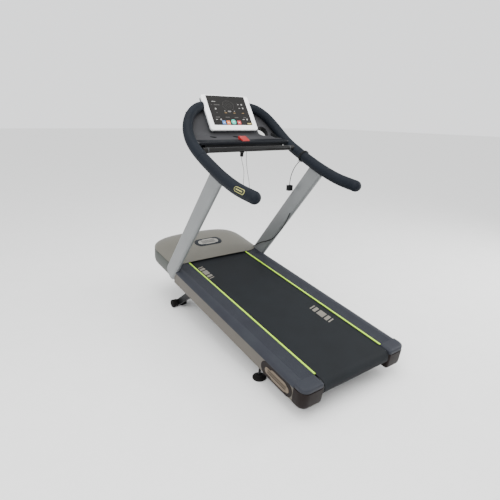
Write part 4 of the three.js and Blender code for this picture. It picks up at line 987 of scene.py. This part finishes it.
def on_grip(near, normal, length, width, low, high, paint, name):
    """A stadium-shaped plate bent round the left grip, centred near a length along the machine."""
    centre = next(i for i, p in enumerate(HANDLE) if p.y > near)
    spots = [Vector((-p.x, p.y, p.z)) for p in HANDLE]
    along = (spots[centre + 1] - spots[centre - 1]).normalized()
    out = Vector(normal) - along * along.dot(Vector(normal))
    out.normalize()
    side = along.cross(out)
    rings = []
    for scale, radius in ((1.0, low), (0.98, high), (0.7, high), (0.35, high), (0.02, high)):
        ring = []
        for u, w in stadium(length * scale, width * scale, 0, 0):
            angle = w / radius
            ring.append(spots[centre] + along * u + (out * math.cos(angle) + side * math.sin(angle)) * radius)
        rings.append(ring)
    finish_piece(name, from_rings(rings), paint, "frame", sharp=60)


def make_grip_badge():
    toward = (-0.86, -0.30, 0.40)
    near = -0.214
    on_grip(near, toward, 0.088, 0.029, 0.0335, 0.0352, TAG, "grip_badge_rim_left")
    on_grip(near, toward, 0.080, 0.0215, 0.0345, 0.0358, BADGE_DARK, "grip_badge_plate_left")
    on_grip(near, toward, 0.056, 0.006, 0.0350, 0.0364, TAG, "grip_badge_bar_left")


def make_strap():
    """A strap buckled round the right grip, from which the short string hangs."""
    first = next(i for i, p in enumerate(HANDLE) if p.y > 0.168)
    path = [HANDLE[first] + (HANDLE[first + 1] - HANDLE[first]).normalized() * 0.0040 * i for i in range(5)]
    radii = (0.0345, 0.0408, 0.0414, 0.0408, 0.0345)
    band = from_rings(tube_rings(path, lambda t: radii[round(t * 4)], 40))
    finish_piece("grip_strap", band, DARK, "frame", sharp=50)
    loop = []
    for i in range(25):
        a = 2 * math.pi * i / 24
        away = Vector((0.006 * math.sin(a), 0.010 - 0.010 * math.cos(a), 0.008 * math.sin(a)))
        loop.append(Vector(HANDLE_STRING[0]) / 1000 + away)
    ring = from_rings(tube_rings(loop, lambda t: 0.0016, 12))
    finish_piece("strap_eye", ring, STEEL, "frame", place=BASE)


make_grip_badge()
make_strap()
make_badges()


# ---- Feet, wheels ----
def make_foot_pads():
    for side in ("left", "right"):
        low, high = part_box(f"rear_foot_pad_{side}")
        cx, cy = (low.x + high.x) / 2, (low.y + high.y) / 2
        profile = [(0.034, 0.0), (0.0375, 0.0008), (0.039, 0.003), (0.039, 0.009), (0.0375, 0.0115),
                   (0.034, 0.0135), (0.022, 0.0175), (0.019, 0.020), (0.0175, 0.0245), (0.016, 0.026),
                   (0.0105, 0.026)]
        bm = turned(profile, 56, (cx, cy, 0))
        finish_piece(f"foot_pad_{side}", bm, RUBBER, "rear_feet", [f"rear_foot_pad_{side}"], place=BASE,
                     sharp=50)


def make_foot_studs():
    for x, side in ((-STUD_X, "left"), (STUD_X, "right")):
        profile = [(0.003, -0.0088), (0.006, -0.0066), (0.0088, -0.001), (0.008, 0.004), (0.0072, 0.008)]
        z = 0.010
        while z < 0.150:
            profile += [(0.0066, z), (0.0074, z + 0.0008)]
            z += 0.0016
        profile += [(0.005, 0.152)]
        bm = turned(profile, 28, (x, STUD_Y, STUD_Z))
        nut = prism(arc(x, STUD_Y, 0.012, 0.012, 0, 300, 5), "Z", 0.0890, 0.1012)
        finish_piece(f"foot_stud_{side}", merged(bm, nut), BLACK_STEEL, "frame", [f"rear_foot_stud_{side}"],
                     weld=False, sharp=25)


def make_wheels():
    for side in ("left", "right"):
        low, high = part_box(f"wheel_{side}")
        c = (low + high) / 2
        neck, far = 0.013, 0.058
        half = [(0.0137, 0.0), (0.0137, neck), (0.024, neck + 0.0004), (0.0275, neck + 0.002),
                (0.029, neck + 0.006), (0.029, far - 0.007), (0.0275, far - 0.0025), (0.024, far - 0.0006),
                (0.018, far - 0.0004), (0.016, far - 0.003), (0.008, far - 0.003), (0.007, far - 0.001),
                (0.002, far - 0.001)]
        profile = [(r, -d) for r, d in reversed(half)] + half[1:]
        finish_piece(f"lift_wheel_{side}", turned(profile, 48, c, "X"), RUBBER, f"wheel_{side}",
                     [f"wheel_{side}"], place=BASE, sharp=40)


make_foot_pads()
make_foot_studs()
make_wheels()


# ---- Pieces that keep their CAD shape and only take a material ----
KEPT = {
    "rear_roller": STEEL, "front_roller": STEEL, "rear_roller_axle": STEEL, "front_roller_axle": STEEL,
    "deck_board": BOARD, "motor_body": CAST, "motor_rotor": STEEL, "drive_belt": SHEATH,
    "motor_pan": BLACK_STEEL,
    "inverter_box": CAST, "frame_rail_left": BLACK_STEEL, "frame_rail_right": BLACK_STEEL,
    "rear_crossmember": BLACK_STEEL, "front_crossmember": BLACK_STEEL, "power_inlet": DARK,
    "lift_arm": BLACK_STEEL, "lift_motor": CAST, "lift_tube": STEEL,
}
for node, paint in KEPT.items():
    frame["nodes"][node].data.materials.clear()
    frame["nodes"][node].data.materials.append(paint)


# ---- Floor and light ----
def make_floor():
    half = 40  # metres each way
    bm = box(-half, half, -half, half, -0.02, 0.0)
    mesh = bpy.data.meshes.new("floor")
    bm.to_mesh(mesh)
    bm.free()
    mesh.materials.append(material("pale_studio_floor", "#f2f2f1", "#f6f6f5", 0.02, 0.8))
    floor = bpy.data.objects.new("floor", mesh)
    bpy.context.scene.collection.objects.link(floor)


def make_light(name, spot, target, size, power):
    data = bpy.data.lights.new(name, "AREA")
    data.shape = "DISK"
    data.size = size
    data.energy = power
    light = bpy.data.objects.new(name, data)
    bpy.context.scene.collection.objects.link(light)
    light.location = spot
    light.rotation_euler = (Vector(target) - Vector(spot)).to_track_quat("-Z", "Y").to_euler()


def make_sun():
    data = bpy.data.lights.new("sky_panel", "SUN")
    data.energy = 1.6
    data.angle = math.radians(70)
    sun = bpy.data.objects.new("sky_panel", data)
    bpy.context.scene.collection.objects.link(sun)
    sun.rotation_euler = (math.radians(18), math.radians(-22), 0)


def make_world():
    world = bpy.data.worlds.new("studio")
    world.use_nodes = True
    tree = world.node_tree
    glow = tree.nodes["Background"]
    glow.inputs["Color"].default_value = linear("#f4f5f6")
    ray = add(tree, "ShaderNodeLightPath")
    # The backdrop is seen a little brighter than it lights, so that it meets the floor's tone.
    level = add(tree, "ShaderNodeMapRange", {"To Min": 1.15, "To Max": 1.75},
                [("Value", ray.outputs["Is Camera Ray"])])
    tree.links.new(level.outputs["Result"], glow.inputs["Strength"])
    bpy.context.scene.world = world


make_floor()
make_world()
make_light("overhead", (-0.6, -0.4, 4.2), (0, 0, 0.4), 3.2, 90)
make_light("key", (-3.6, -2.2, 3.4), (0, 0, 0.7), 2.4, 110)
make_light("side", (3.4, -1.5, 2.2), (0, 0, 0.8), 2.4, 110)
make_sun()
